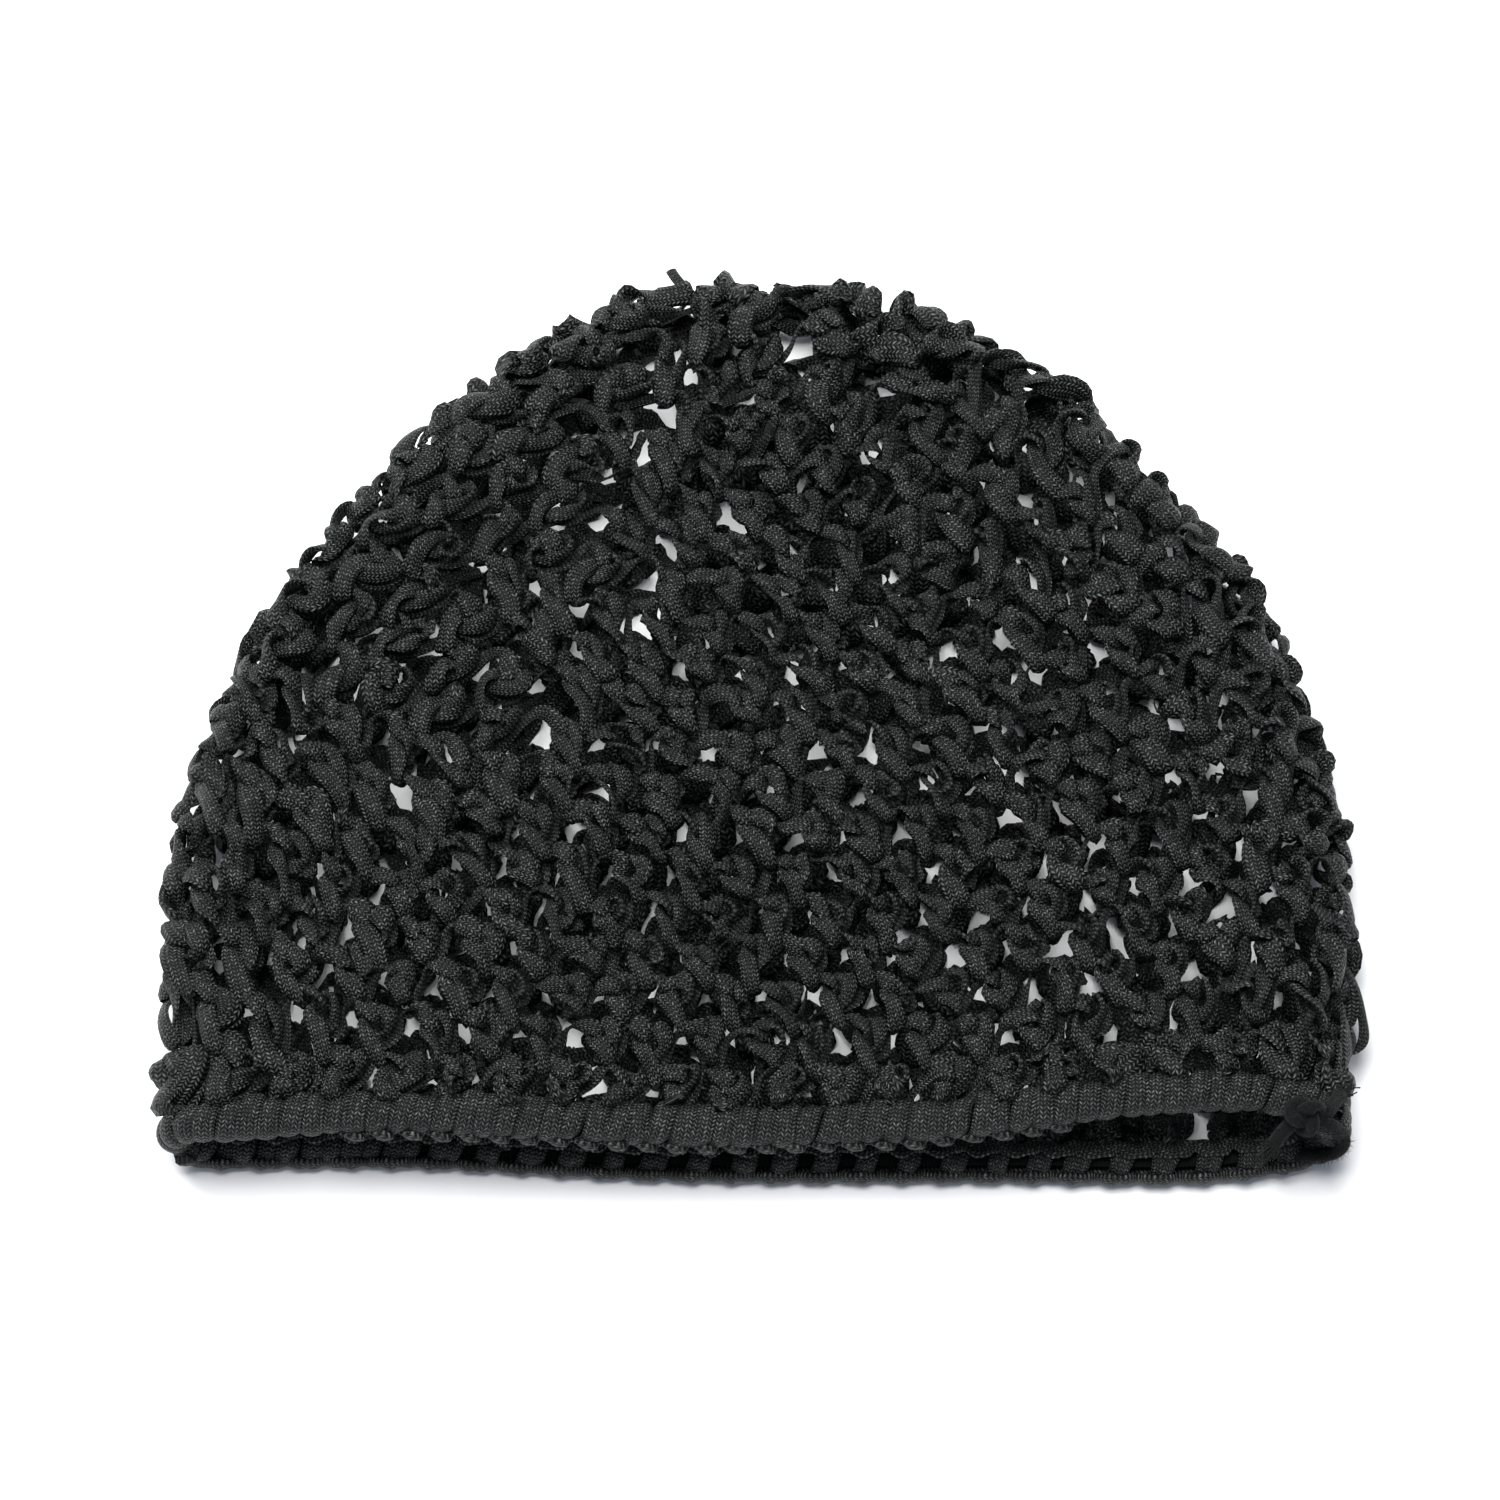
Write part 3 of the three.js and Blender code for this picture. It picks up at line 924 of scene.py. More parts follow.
@dataclass(frozen=True)
class CoveredElasticFinish:
    """Round elastic covered with spun black thread: dull, matt and a little hairy."""

    name: str = "thread_covered_elastic_black"
    dark: str = "#020202"
    light: str = "#0f1011"
    # Tufts of the spun thread are a little under 0.4 mm wide.
    tuft: float = 1 / 2.6
    roughness: float = 0.85
    specular: float = 0.14
    sheen: float = 0.05
    relief: float = 0.3
    relief_strength: float = 0.8

    def make(self) -> bpy.types.Material:
        """Builds the material.

        Returns:
            The material.
        """
        material = bare_material(self.name)
        tree = material.node_tree
        place = add_node(tree, "ShaderNodeTexCoord").outputs["Object"]
        noise = add_node(
            tree, "ShaderNodeTexNoise", {"Vector": place, "Scale": 1 / (self.tuft * MM), "Detail": 4.0}
        )
        tufts = noise.outputs["Fac"]
        colour = add_node(
            tree,
            "ShaderNodeMix",
            {"Factor": tufts, "A": linear(self.dark), "B": linear(self.light)},
            data_type="RGBA",
        )
        bump = add_node(
            tree,
            "ShaderNodeBump",
            {"Height": tufts, "Strength": self.relief_strength, "Distance": self.relief * MM},
        )
        shader = add_node(
            tree,
            "ShaderNodeBsdfPrincipled",
            {
                "Base Color": colour.outputs["Result"],
                "Roughness": self.roughness,
                "Specular IOR Level": self.specular,
                "Sheen Weight": self.sheen,
                "Normal": bump,
            },
        )
        add_node(tree, "ShaderNodeOutputMaterial", {"Surface": shader})
        return material


@dataclass(frozen=True)
class WhitePaperFinish:
    """Seamless white background paper: even, matt, close to pure white."""

    name: str = "background_paper_white"
    colour: str = "#f7f7f7"
    roughness: float = 0.9
    specular: float = 0.1

    def make(self) -> bpy.types.Material:
        """Builds the material.

        Returns:
            The material.
        """
        material = bare_material(self.name)
        tree = material.node_tree
        shader = add_node(
            tree,
            "ShaderNodeBsdfPrincipled",
            {
                "Base Color": linear(self.colour),
                "Roughness": self.roughness,
                "Specular IOR Level": self.specular,
            },
        )
        add_node(tree, "ShaderNodeOutputMaterial", {"Surface": shader})
        return material


class SubAssembly:
    """A sub-assembly of the net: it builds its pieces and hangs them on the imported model."""

    NODE: Node
    SLOT: Slot

    def build(self) -> list[bpy.types.Object]:
        """Makes the pieces."""
        raise NotImplementedError

    def dress(self, pieces: list[bpy.types.Object]) -> None:
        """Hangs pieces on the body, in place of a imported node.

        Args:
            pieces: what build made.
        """
        for piece in pieces:
            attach(piece, BODY)
            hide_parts(self.NODE.value)
            LOG.info("%s: %d faces, for %s", piece.name, len(piece.data.polygons), self.NODE.value)


@dataclass(frozen=True)
class CrochetStitch:
    """One loose crochet stitch, which the ribbon runs through and leaves for the next.

    Across is the way the work goes round, up is towards the crown, out is away from the head.

    Attributes:
        pitch: distance from stitch to stitch along a round.
        height: distance from round to round.
        steps: points of the ribbon in a stitch.
        shift: part of a pitch that a round lies beside the round below.
        wide: room that a strand takes up within the wall.
        thick: room that a strand takes up through the wall.
        deep: how far a strand may lie from the middle of the wall.
        near: length of ribbon within which strands don't push each other apart.
        rounds: how often the ribbon is drawn and its strands are parted.
        stiffness: how strongly the ribbon straightens.
        draw: part of the ribbon's length that is left when it is drawn tight.
        path: the ribbon's way through the stitch.
    """

    pitch: float = 8.6
    height: float = 6.65
    steps: int = 56
    shift: float = 0.5
    wide: float = 2.1
    thick: float = 2.1
    deep: float = 3.4
    near: float = 3.6
    rounds: int = 36
    stiffness: float = 0.15
    draw: float = 0.9
    path: tuple[Point, ...] = (
        # down the back from the stitch before, and through the round below to the front
        (-4.0, 5.0, -0.9),
        (-2.8, 3.6, -1.5),
        (-1.2, 1.4, -1.6),
        (0.3, -0.7, -1.2),
        (1.2, -1.8, 0.2),
        # drawn-up loop: up the front to the left, over the top, and down across its own first leg
        (0.7, 0.0, 1.3),
        (-1.0, 2.2, 1.4),
        (-2.5, 4.3, 1.5),
        (-2.0, 6.2, 1.4),
        (-0.3, 7.1, 1.1),
        (1.5, 6.5, 1.3),
        (2.3, 4.7, 1.9),
        (1.2, 2.3, 2.3),
        (-0.3, 0.2, 2.0),
        (-1.0, -1.8, 0.6),
        # up the back, out through the loop and on to the next stitch
        (-0.3, -0.9, -1.2),
        (1.4, 1.4, -1.7),
        (2.1, 3.8, -1.0),
        (1.0, 4.7, 0.8),
        (1.6, 5.6, 2.4),
        (3.1, 5.8, 1.4),
    )

    @property
    def onward(self) -> Array:
        """Way from a stitch to the next."""
        return np.array([self.pitch, 0.0, 0.0])

    def drawn(self, rng: np.random.Generator, slack: float) -> Array:
        """Draws the ribbon tight, so that its strands lie against each other.

        Args:
            rng: source of the unevenness of handwork.
            slack: how far the path strays before it is drawn tight.

        Returns:
            Points of the path, the last one a step short of the next stitch's first.
        """
        freedom, fine = (1, 1, 0.3), 12
        knots = np.array(self.path) + rng.normal(0, slack, (len(self.path), 3)) * freedom
        ring = np.vstack([knots[-1:] - self.onward, knots, knots[:2] + self.onward])
        points = resampled(curved(ring, fine), self.steps + 1)[:-1]
        pitch = np.linalg.norm(np.diff(points, axis=0), axis=1).mean()
        moves, apart = self._neighbours(pitch)
        for _ in range(self.rounds):
            points = self._tightened(points, self.draw * pitch)
            points = self._parted(points, moves, apart)
        size = np.ptp(points, 0)
        LOG.info("stitch: %.1f mm of ribbon, %.1f high, %.1f deep", pitch * self.steps, size[1], size[2])
        return points

    def _neighbours(self, pitch: float) -> tuple[Array, Array]:
        """Finds what a stitch can touch: itself and its copies beside, above and below it.

        Args:
            pitch: distance between neighbouring points of the ribbon.

        Returns:
            The way to each copy, and which points of all copies each point of the stitch may touch.
        """
        order = np.arange(self.steps)
        copies = [(i, j) for j in (-1, 0, 1) for i in (-2, -1, 0, 1, 2)]
        moves = np.array([[(i + j * self.shift) * self.pitch, j * self.height, 0.0] for i, j in copies])
        apart = [
            np.abs(order[:, None] - (order[None] + i * self.steps)) * pitch > self.near
            if j == 0
            else np.ones((self.steps, self.steps), bool)
            for i, j in copies
        ]
        return moves, np.stack(apart, axis=1).reshape(self.steps, -1)

    def _tightened(self, points: Array, pitch: float) -> Array:
        """Straightens the ribbon a little and evens out its length.

        Args:
            points: points of the ribbon.
            pitch: distance that neighbouring points should have.

        Returns:
            The moved points.
        """
        passes, give = 4, 0.45
        ahead, behind = np.roll(points, -1, 0), np.roll(points, 1, 0)
        ahead[-1] += self.onward
        behind[0] -= self.onward
        points = points + self.stiffness * ((ahead + behind) / 2 - points)
        for _ in range(passes):
            link = np.roll(points, -1, 0) - points
            link[-1] += self.onward
            size = np.linalg.norm(link, axis=1, keepdims=True)
            pull = give * (1 - pitch / np.maximum(size, 1e-6)) * link
            points = points + pull - np.roll(pull, 1, 0)
        return points

    def _parted(self, points: Array, moves: Array, apart: Array) -> Array:
        """Pushes strands apart that lie in each other, and keeps them in the wall.

        Args:
            points: points of the ribbon.
            moves: way to each copy of the stitch.
            apart: which points of the copies each point may touch.

        Returns:
            The moved points.
        """
        give, longest, nearest, settle = 0.25, 0.35, 0.05, 0.2
        others = (points[None] + moves[:, None]).reshape(-1, 3)
        gap = points[:, None] - others[None]
        reach = np.linalg.norm(gap / np.array([self.wide, self.wide, self.thick]), axis=2)
        push = np.where(apart & (reach < 1), (1 - reach) / np.maximum(reach, nearest), 0.0)
        step = give * (push[..., None] * gap).sum(1)
        size = np.linalg.norm(step, axis=1, keepdims=True)
        points = points + step * np.minimum(1, longest / np.maximum(size, 1e-9))
        out = points[:, 2]
        points[:, 2] -= settle * np.sign(out) * np.maximum(np.abs(out) - self.deep, 0)
        return points


@dataclass(frozen=True)
class RimHem:
    """How the feet of the first round reach over the rim.

    Attributes:
        reach: how far they reach.
        top: height in a stitch below which they reach.
        run: height over which the reach grows.
        puff: how much farther from the wall they lie.
    """

    reach: float = 2.0
    top: float = 2.5
    run: float = 4.5
    puff: float = 0.8

    def hooked(self, up: Array, out: Array) -> tuple[Array, Array]:
        """Hooks a stitch over the rim.

        Args:
            up: height of each point in the stitch.
            out: height of each point over the middle of the wall.

        Returns:
            Both heights, changed.
        """
        over = np.clip((self.top - up) / self.run, 0, 1)
        return up - self.reach * over, out * (1 + self.puff * over)


@dataclass(frozen=True)
class RibbonGather:
    """How the ribbon of the crown gathers where it is pinched and spreads where it lies free.

    Attributes:
        pinch: scale of the ribbon in the middle of the wall, where strands cross.
        spread: scale of the ribbon where it lies free.
        hem_pinch: the first in the round at the rim.
        hem_spread: the second in the round at the rim.
        crossing: height over the middle of the wall up to which the ribbon is pinched.
        freeing: height over which it then spreads.
        ease: how much looser or tighter one stitch is than another.
        press: how much wider the ribbon of the lower layer lies, pressed on the floor.
        crowd: how much wider the ribbon of the crowded top lies.
        crowd_from: round where that starts.
        crowd_run: rounds over which it grows.
        gap_turn: share of the way round of the one open place behind the rim, beside the knot.
        gap_run: half its width, as a share of the way round.
        gap_share: how much narrower the ribbon is there.
    """

    pinch: float = 0.48
    spread: float = 1.1
    hem_pinch: float = 1.15
    hem_spread: float = 1.3
    crossing: float = 0.3
    freeing: float = 1.4
    ease: float = 0.25
    press: float = 0.65
    crowd: float = 0.28
    crowd_from: int = 14
    crowd_run: int = 4
    gap_turn: float = 0.937
    gap_run: float = 0.013
    gap_share: float = 0.6

    def scale(self, rng: np.random.Generator, row: int, count: int, turns: Array, lifts: Array) -> Array:
        """Finds the scale of the ribbon along a round.

        Args:
            rng: source of the unevenness of handwork.
            row: number of the round from the rim.
            count: stitches of the round.
            turns: share of the way round of each point.
            lifts: height of each point over the middle of the wall.

        Returns:
            The scale at each point.
        """
        free = np.clip((np.abs(lifts) - self.crossing) / self.freeing, 0, 1)
        pinch, spread = (self.pinch, self.spread) if row else (self.hem_pinch, self.hem_spread)
        ease = rng.uniform(1 - self.ease, 1 + self.ease, count)
        place = np.arange(len(free)) * count / len(free)
        scale = np.interp(place, np.arange(count), ease, period=count)
        scale *= pinch + (spread - pinch) * free
        scale *= 1 + self.press * (0.5 - 0.5 * np.sin(2 * np.pi * turns))
        scale *= 1 + self.crowd * np.clip((row - self.crowd_from) / self.crowd_run, 0, 1)
        if row == 0:
            away = (np.mod(turns, 1) - self.gap_turn) / self.gap_run
            scale *= 1 - self.gap_share * np.exp(-(away**2))
        return scale


@dataclass
class CrownNet(SubAssembly):
    """The crocheted crown: rounds of crossed loops from the rim to the gathered top.

    Attributes:
        surface: where the stitches lie.
        sweep: what draws the ribbon.
        finish: material of the ribbon.
        stitch: the stitch that repeats.
        hem: how the first round reaches over the rim.
        gather: how the ribbon gathers and spreads.
        section: the ribbon.
        rows: how many rounds.
        top: round of the wall where the last one ends.
        fewest: stitches that a round has at least.
        variants: how many uneven stitches are made to choose from.
        slack: how far the path of a stitch strays before it is drawn tight.
        stray: how far the laid ribbon strays.
        lean: how far stitches lean along the round.
        lean_start: part of a stitch's height where the lean starts.
        lean_run: part of its height over which it leans.
        pull: how strongly straight runs lie flat on the net.
        bend: how strongly bends turn the ribbon over its flat side.
        bulge: how far loops stand out at the folds.
        twist: usual turn away from lying flat, in degrees.
        floor: lowest place of the ribbon's middle.
        floor_blend: height over which the ribbon is eased up from the floor.
    """

    NODE = Node.CROWN
    SLOT = Slot.RIBBON

    surface: NetSurface
    sweep: PathSweep
    finish: bpy.types.Material
    stitch: CrochetStitch = CrochetStitch()
    hem: RimHem = RimHem()
    gather: RibbonGather = RibbonGather()
    section: Section = Section(2.8, 0.75, -0.18, 8)
    rows: int = 20
    top: float = 0.2
    fewest: int = 6
    variants: int = 10
    slack: float = 0.3
    stray: float = 0.5
    lean: float = 0.7
    lean_start: float = 0.05
    lean_run: float = 0.75
    pull: float = 0.2
    bend: float = 12.0
    bulge: float = 0.2
    twist: float = 30.0
    floor: float = 0.9
    floor_blend: float = 0.6

    def build(self) -> list[bpy.types.Object]:
        """Crochets the rounds.

        Returns:
            One piece for each round.
        """
        rng = np.random.default_rng(SEED)
        stitches = [self.stitch.drawn(rng, self.slack) for _ in range(self.variants)]
        waves = self._waves(rng)
        edges = np.linspace(self.surface.form.last, self.top, self.rows + 1)
        counts = [max(round(girth / self.stitch.pitch), self.fewest) for girth in self.surface.girth(edges)]
        phase, pieces = 0.0, []
        for row in range(self.rows):
            foot_phase = phase + self.stitch.shift / counts[row]
            phase = foot_phase + self.lean / self.surface.girth(edges[row])
            chosen = [stitches[rng.integers(len(stitches))] for _ in range(counts[row + 1])]
            phases = foot_phase, phase
            rounds, turns, lifts = self._worked(chosen, row, edges[row : row + 2], counts[row], phases)
            strand = self._laid(rounds, turns, lifts, waves)
            strand.twist(rng, self.twist)
            strand.gather *= self.gather.scale(rng, row, counts[row + 1], turns, lifts)
            pieces.append(self.sweep.draw(f"crown_round_{row + 1}", [strand], self.section, self.finish))
        return pieces

    def _waves(self, rng: np.random.Generator) -> Array:
        """Draws the random waves that make the handwork uneven.

        Args:
            rng: source of the waves.

        Returns:
            For each wave its turns round the net, its waves per round of the wall, and three phases.
        """
        count, most, steepest = 14, 40, 1.2
        around = rng.integers(-most, most + 1, count)
        down = rng.uniform(-steepest, steepest, count)
        return np.column_stack([around, down, rng.uniform(0, 2 * np.pi, (count, 3))])

    def _worked(
        self, stitches: list[Array], row: int, edges: Array, below: int, phases: tuple[float, float]
    ) -> tuple[Array, Array, Array]:
        """Works the stitches of a round into the round below.

        Args:
            stitches: the round's stitches in order.
            row: number of the round from the rim.
            edges: where the round starts and ends on the wall.
            below: stitches of the round below.
            phases: where the feet and the heads of the round start, as shares of the way round.

        Returns:
            For each point of the ribbon its round on the wall, its share of the way round and its lift.
        """
        count, girth = len(stitches), self.surface.girth(edges[0])
        points = []
        for i, stitch in enumerate(stitches):
            u, v, w = stitch.T
            if row == 0:
                v, w = self.hem.hooked(v, w)
            up = v / self.stitch.height
            part = np.clip((up - self.lean_start) / self.lean_run, 0, 1)
            part = part * part * (3 - 2 * part)
            hole = round((i + 0.5) * below / count - 0.5)
            foot = phases[0] + hole / below + u / girth
            head = phases[1] + (i + u / self.stitch.pitch) / count
            points.append((edges[0] + up * (edges[1] - edges[0]), (1 - part) * foot + part * head, w))
        rounds, turns, lifts = (np.concatenate(values) for values in zip(*points))
        return rounds, turns, lifts

    def _laid(self, rounds: Array, turns: Array, lifts: Array, waves: Array) -> Strand:
        """Lays a round of stitches on the net.

        Args:
            rounds: round number of each point of the ribbon.
            turns: share of the way round of each point.
            lifts: height of each point over the middle of the wall.
            waves: the waves of uneven handwork.

        Returns:
            The strand.
        """
        puff_share, passes, ease = 0.5, 3, 0.25
        angle = 2 * np.pi * (turns[:, None] * waves[:, 0] + rounds[:, None] * waves[:, 1])
        size = self.stray * math.sqrt(2 / len(waves))
        sway, rise, puff = (size * np.sin(angle + phase).sum(1) for phase in waves[:, 2:].T)
        spacing = self.stitch.height * self.rows / self.surface.form.last
        turns = turns + sway / self.surface.girth(rounds)
        points, normals = self.surface.place(rounds + rise / spacing, turns, lifts + puff_share * puff)
        points += self.bulge * ((1 - np.abs(normals[:, 2])) ** 2)[:, None] * normals
        for _ in range(passes):
            points = points + ease * (np.roll(points, -1, 0) + np.roll(points, 1, 0) - 2 * points)
        blend = self.floor_blend
        under = np.maximum(self.floor + blend - points[:, 2], 0)
        points[:, 2] = np.where(under > 0, self.floor + blend * np.exp(-under / blend), points[:, 2])
        return Strand.ribbon(points, normals, True, self.pull, self.bend)


class RimLine:
    """Line that the rolled rim and its elastic follow.

    Turns are shares of the way round, from the right fold over the upper layer and back along the lower
    one. Angles about the line run from outwards towards the mouth.
    """

    POINTS = 720
    BAND_SIDES = 10
    FLOOR = 0.6

    def __init__(self, form: NetForm) -> None:
        """Finds the line and its frame.

        Args:
            form: form of the net.
        """
        low = form.band_radius * math.cos(math.pi / self.BAND_SIDES)
        self.points = form.ring(form.last, low, form.high, self.POINTS) - (0.0, form.band_drop, 0.0)
        along = unit(np.roll(self.points, -1, 0) - np.roll(self.points, 1, 0))
        self.out = unit(np.cross(along, (0.0, -1.0, 0.0)))
        self.down = np.cross(self.out, along)
        self.girth = float(np.linalg.norm(np.roll(self.points, -1, 0) - self.points, axis=1).sum())

    def around(self, turns: Array, angles: Array, radii: Array) -> tuple[Array, Array]:
        """Finds points about the line.

        Args:
            turns: share of the way round of each point.
            angles: angle about the line, in radians.
            radii: distance from the line.

        Returns:
            The points, and the direction away from the line at each.
        """
        place = np.mod(turns, 1) * self.POINTS
        i = np.floor(place).astype(int) % self.POINTS
        k, part = (i + 1) % self.POINTS, (place - np.floor(place))[:, None]
        centre, out, down = ((1 - part) * g[i] + part * g[k] for g in (self.points, self.out, self.down))
        away = unit(np.cos(angles)[:, None] * out + np.sin(angles)[:, None] * down)
        return centre + radii[:, None] * away, away

    def ribbon(
        self, turns: Array, angles: Array, radii: Array, closed: bool = False, pull: float = 0.6
    ) -> Strand:
        """Lays ribbon flat about the line, above the floor.

        Args:
            turns: share of the way round of each point.
            angles: angle about the line of each point, in radians.
            radii: distance of each point from the line.
            closed: whether the ribbon runs into itself.
            pull: how strongly the ribbon lies flat about the line.

        Returns:
            The strand.
        """
        points, away = self.around(turns, angles, radii)
        points[:, 2] = np.maximum(points[:, 2], self.FLOOR)
        return Strand.ribbon(points, away, closed, pull)


@dataclass(frozen=True)
class RimWraps:
    """Ribbon wound round the elastic: side by side on the upper layer, in pairs on the lower one.

    Attributes:
        section: the ribbon.
        radius: distance of its middle from the rim's line.
        pitch: distance from wrap to wrap.
        step: distance between points along the ribbon.
        sway: unevenness along the rim.
        puff: unevenness away from the line.
        flare: how far wraps of the upper layer are drawn up into the crown at most.
        lower_middle: turn at the middle of the lower layer.
        lower_half: turns from there to where the lower layer's winding ends.
        lower_edge: how sharply it ends.
        pairing: how far wraps part in pairs.
        pair_start: turn where they start to part.
        pair_run: turns over which they part.
        pair_lag: where on the winding they part, in half turns about the line.
        pair_pinch: how much narrower parted wraps are.
    """

    section: Section = Section(3.9, 0.8, -0.45, 12)
    radius: float = 2.65
    pitch: float = 3.35
    step: float = 0.7
    sway: float = 0.14
    puff: float = 0.06
    flare: float = 1.3
    lower_middle: float = 0.75
    lower_half: float = 0.23
    lower_edge: float = 40.0
    pairing: float = 1.5
    pair_start: float = 0.55
    pair_run: float = 0.12
    pair_lag: float = 0.8
    pair_pinch: float = 0.2

    def wound(self, line: RimLine, rng: np.random.Generator) -> Strand:
        """Winds the ribbon.

        Args:
            line: line of the rim.
            rng: source of the unevenness of handwork.

        Returns:
            The strand.
        """
        uneven, slowest, fastest = 12, 5, 70
        wraps = 2 * round(line.girth / self.pitch / 2)
        count = int(wraps * 2 * math.pi * self.radius / self.step)
        turn = np.arange(count) / count
        angle = 2 * np.pi * turn * wraps
        waves, phases = rng.integers(slowest, fastest, uneven), rng.uniform(0, 2 * np.pi, (uneven, 2))
        sway, puff = (np.sin(2 * np.pi * turn[:, None] * waves + phase).sum(1) for phase in phases.T)
        inside = self.lower_half - np.abs(turn - self.lower_middle)
        lower = 1 / (1 + np.exp(-self.lower_edge * inside))
        parted = lower * np.clip((turn - self.pair_start) / self.pair_run, 0, 1)
        pairs = self.pairing * parted * np.cos((angle - self.pair_lag * np.pi) / 2)
        turns = turn + (self.sway * sway + pairs) / line.girth
        # a wrap is counted from its quarter turn, which isn't drawn up, to the next one's
        wrap = np.round(turn * wraps + 0.25).astype(int)
        flare = rng.uniform(0, self.flare, wraps + 1)[wrap]
        drawn_up = (1 - lower) * flare * np.maximum(-np.sin(angle), 0) ** 2
        strand = line.ribbon(turns, angle, self.radius + self.puff * puff + drawn_up, closed=True)
        strand.gather = 1 - self.pair_pinch * parted
        return strand


@dataclass(frozen=True)
class RimChain:
    """Chain of small round loops along the mouth edge of the upper layer.

    Attributes:
        section: the ribbon.
        start: turn where the chain starts.
        end: turn where it ends.
        loop: length of a loop.
        sizes: smallest and largest loop.
        points: points of a loop.
        angle: angle about the rim's line where the chain lies, in degrees.
        wave: how far a loop swings about that, in degrees.
        radius: distance of the chain from the line.
        bulge: how much farther the top of a loop lies.
        pinch: scale of the ribbon between loops, which doubles on top of a loop.
    """

    section: Section = Section(3.2, 2.0, 0.0, 10)
    start: float = 0.12
    end: float = 0.42
    loop: float = 4.6
    sizes: tuple[float, float] = (0.7, 1.15)
    points: int = 12
    angle: float = 122.0
    wave: float = 10.0
    radius: float = 2.6
    bulge: float = 0.7
    pinch: float = 0.55

    def looped(self, line: RimLine, rng: np.random.Generator) -> Strand:
        """Works the loops.

        Args:
            line: line of the rim.
            rng: source of the unevenness of handwork.

        Returns:
            The strand.
        """
        loops = round((self.end - self.start) * line.girth / self.loop)
        part = np.linspace(0, loops, loops * self.points)
        size = np.interp(part, np.arange(loops + 1), rng.uniform(*self.sizes, loops + 1))
        bulge = size * np.sin(np.pi * part) ** 2
        turns = self.start + (self.end - self.start) * part / loops
        angles = np.radians(self.angle + self.wave * np.sin(2 * np.pi * part))
        strand = line.ribbon(turns, angles, self.radius + self.bulge * bulge)
        strand.gather = self.pinch + self.pinch * bulge
        return strand


@dataclass(frozen=True)
class RimRails:
    """Ribbon along both sides of the openings of the lower layer.

    Attributes:
        section: the ribbon.
        start: turn where the rails start.
        run: turns that they run.
        points: points of a rail.
        angles: angles about the rim's line where they lie, in degrees.
        wave: how far they swing about that, in degrees.
        waves: fewest and most swings of a rail.
        phases: earliest and latest phase of the swings, in radians.
        radius: distance of the rails from the line.
        puff: unevenness away from the line.
        pull: how strongly they lie flat about the line.
        beads: swellings along a rail.
        swell: how much they swell.
    """

    section: Section = Section(3.1, 1.6, 0.0, 10)
    start: float = 0.51
    run: float = 0.48
    points: int = 300
    angles: tuple[float, float] = (84.0, 202.0)
    wave: float = 7.0
    waves: tuple[float, float] = (24.0, 30.0)
    phases: tuple[float, float] = (0.0, 6.0)
    radius: float = 2.95
    puff: float = 0.2
    pull: float = 0.3
    beads: int = 61
    swell: float = 0.18

    def laid(self, line: RimLine, rng: np.random.Generator) -> list[Strand]:
        """Lays the rails.

        Args:
            line: line of the rim.
            rng: source of the unevenness of handwork.

        Returns:
            The strands.
        """
        rails = []
        part = np.linspace(0, 1, self.points)
        for degrees in self.angles:
            wave = np.sin(2 * np.pi * part * rng.uniform(*self.waves) + rng.uniform(*self.phases))
            angles, radii = np.radians(degrees + self.wave * wave), self.radius + self.puff * wave
            strand = line.ribbon(self.start + self.run * part, angles, radii, pull=self.pull)
            strand.gather = 1 + self.swell * np.sin(2 * np.pi * part * self.beads)
            rails.append(strand)
        return rails


@dataclass(frozen=True)
class RimLining:
    """Ribbon under the elastic of the lower layer, and behind it but for two open places.

    Attributes:
        section: the ribbon.
        under: turns where the ribbon under the elastic starts and ends.
        under_angle: its angle about the rim's line, in degrees.
        under_radius: its distance from the line.
        under_points: its points.
        behind: turns where each ribbon behind the elastic starts and ends.
        behind_angle: its angle about the line, in radians.
        behind_radius: its distance from the line.
        behind_points: its points.
        pull: how strongly it lies flat about the line.
    """

    section: Section = Section(5.4, 0.5, 0.0, 8)
    under: tuple[float, float] = (0.51, 0.99)
    under_angle: float = 12.0
    under_radius: float = 2.0
    under_points: int = 160
    behind: tuple[tuple[float, float], ...] = ((0.51, 0.858), (0.882, 0.93), (0.953, 0.985))
    behind_angle: float = -1.25
    behind_radius: float = 5.2
    behind_points: int = 80
    pull: float = 0.6

    def laid(self, line: RimLine) -> list[Strand]:
        """Lays the ribbon.

        Args:
            line: line of the rim.

        Returns:
            The strands.
        """
        turns = np.linspace(*self.under, self.under_points)
        angles, radii = np.full_like(turns, self.under_angle), np.full_like(turns, self.under_radius)
        strands = [line.ribbon(turns, np.radians(angles), radii)]
        for start, end in self.behind:
            turns = np.linspace(start, end, self.behind_points)
            angles, radii = np.full_like(turns, self.behind_angle), np.full_like(turns, self.behind_radius)
            points, _ = line.around(turns, angles, radii)
            _, out = line.around(turns, np.zeros_like(turns), np.ones_like(turns))
            strands.append(Strand.ribbon(points, out, False, self.pull))
        return strands


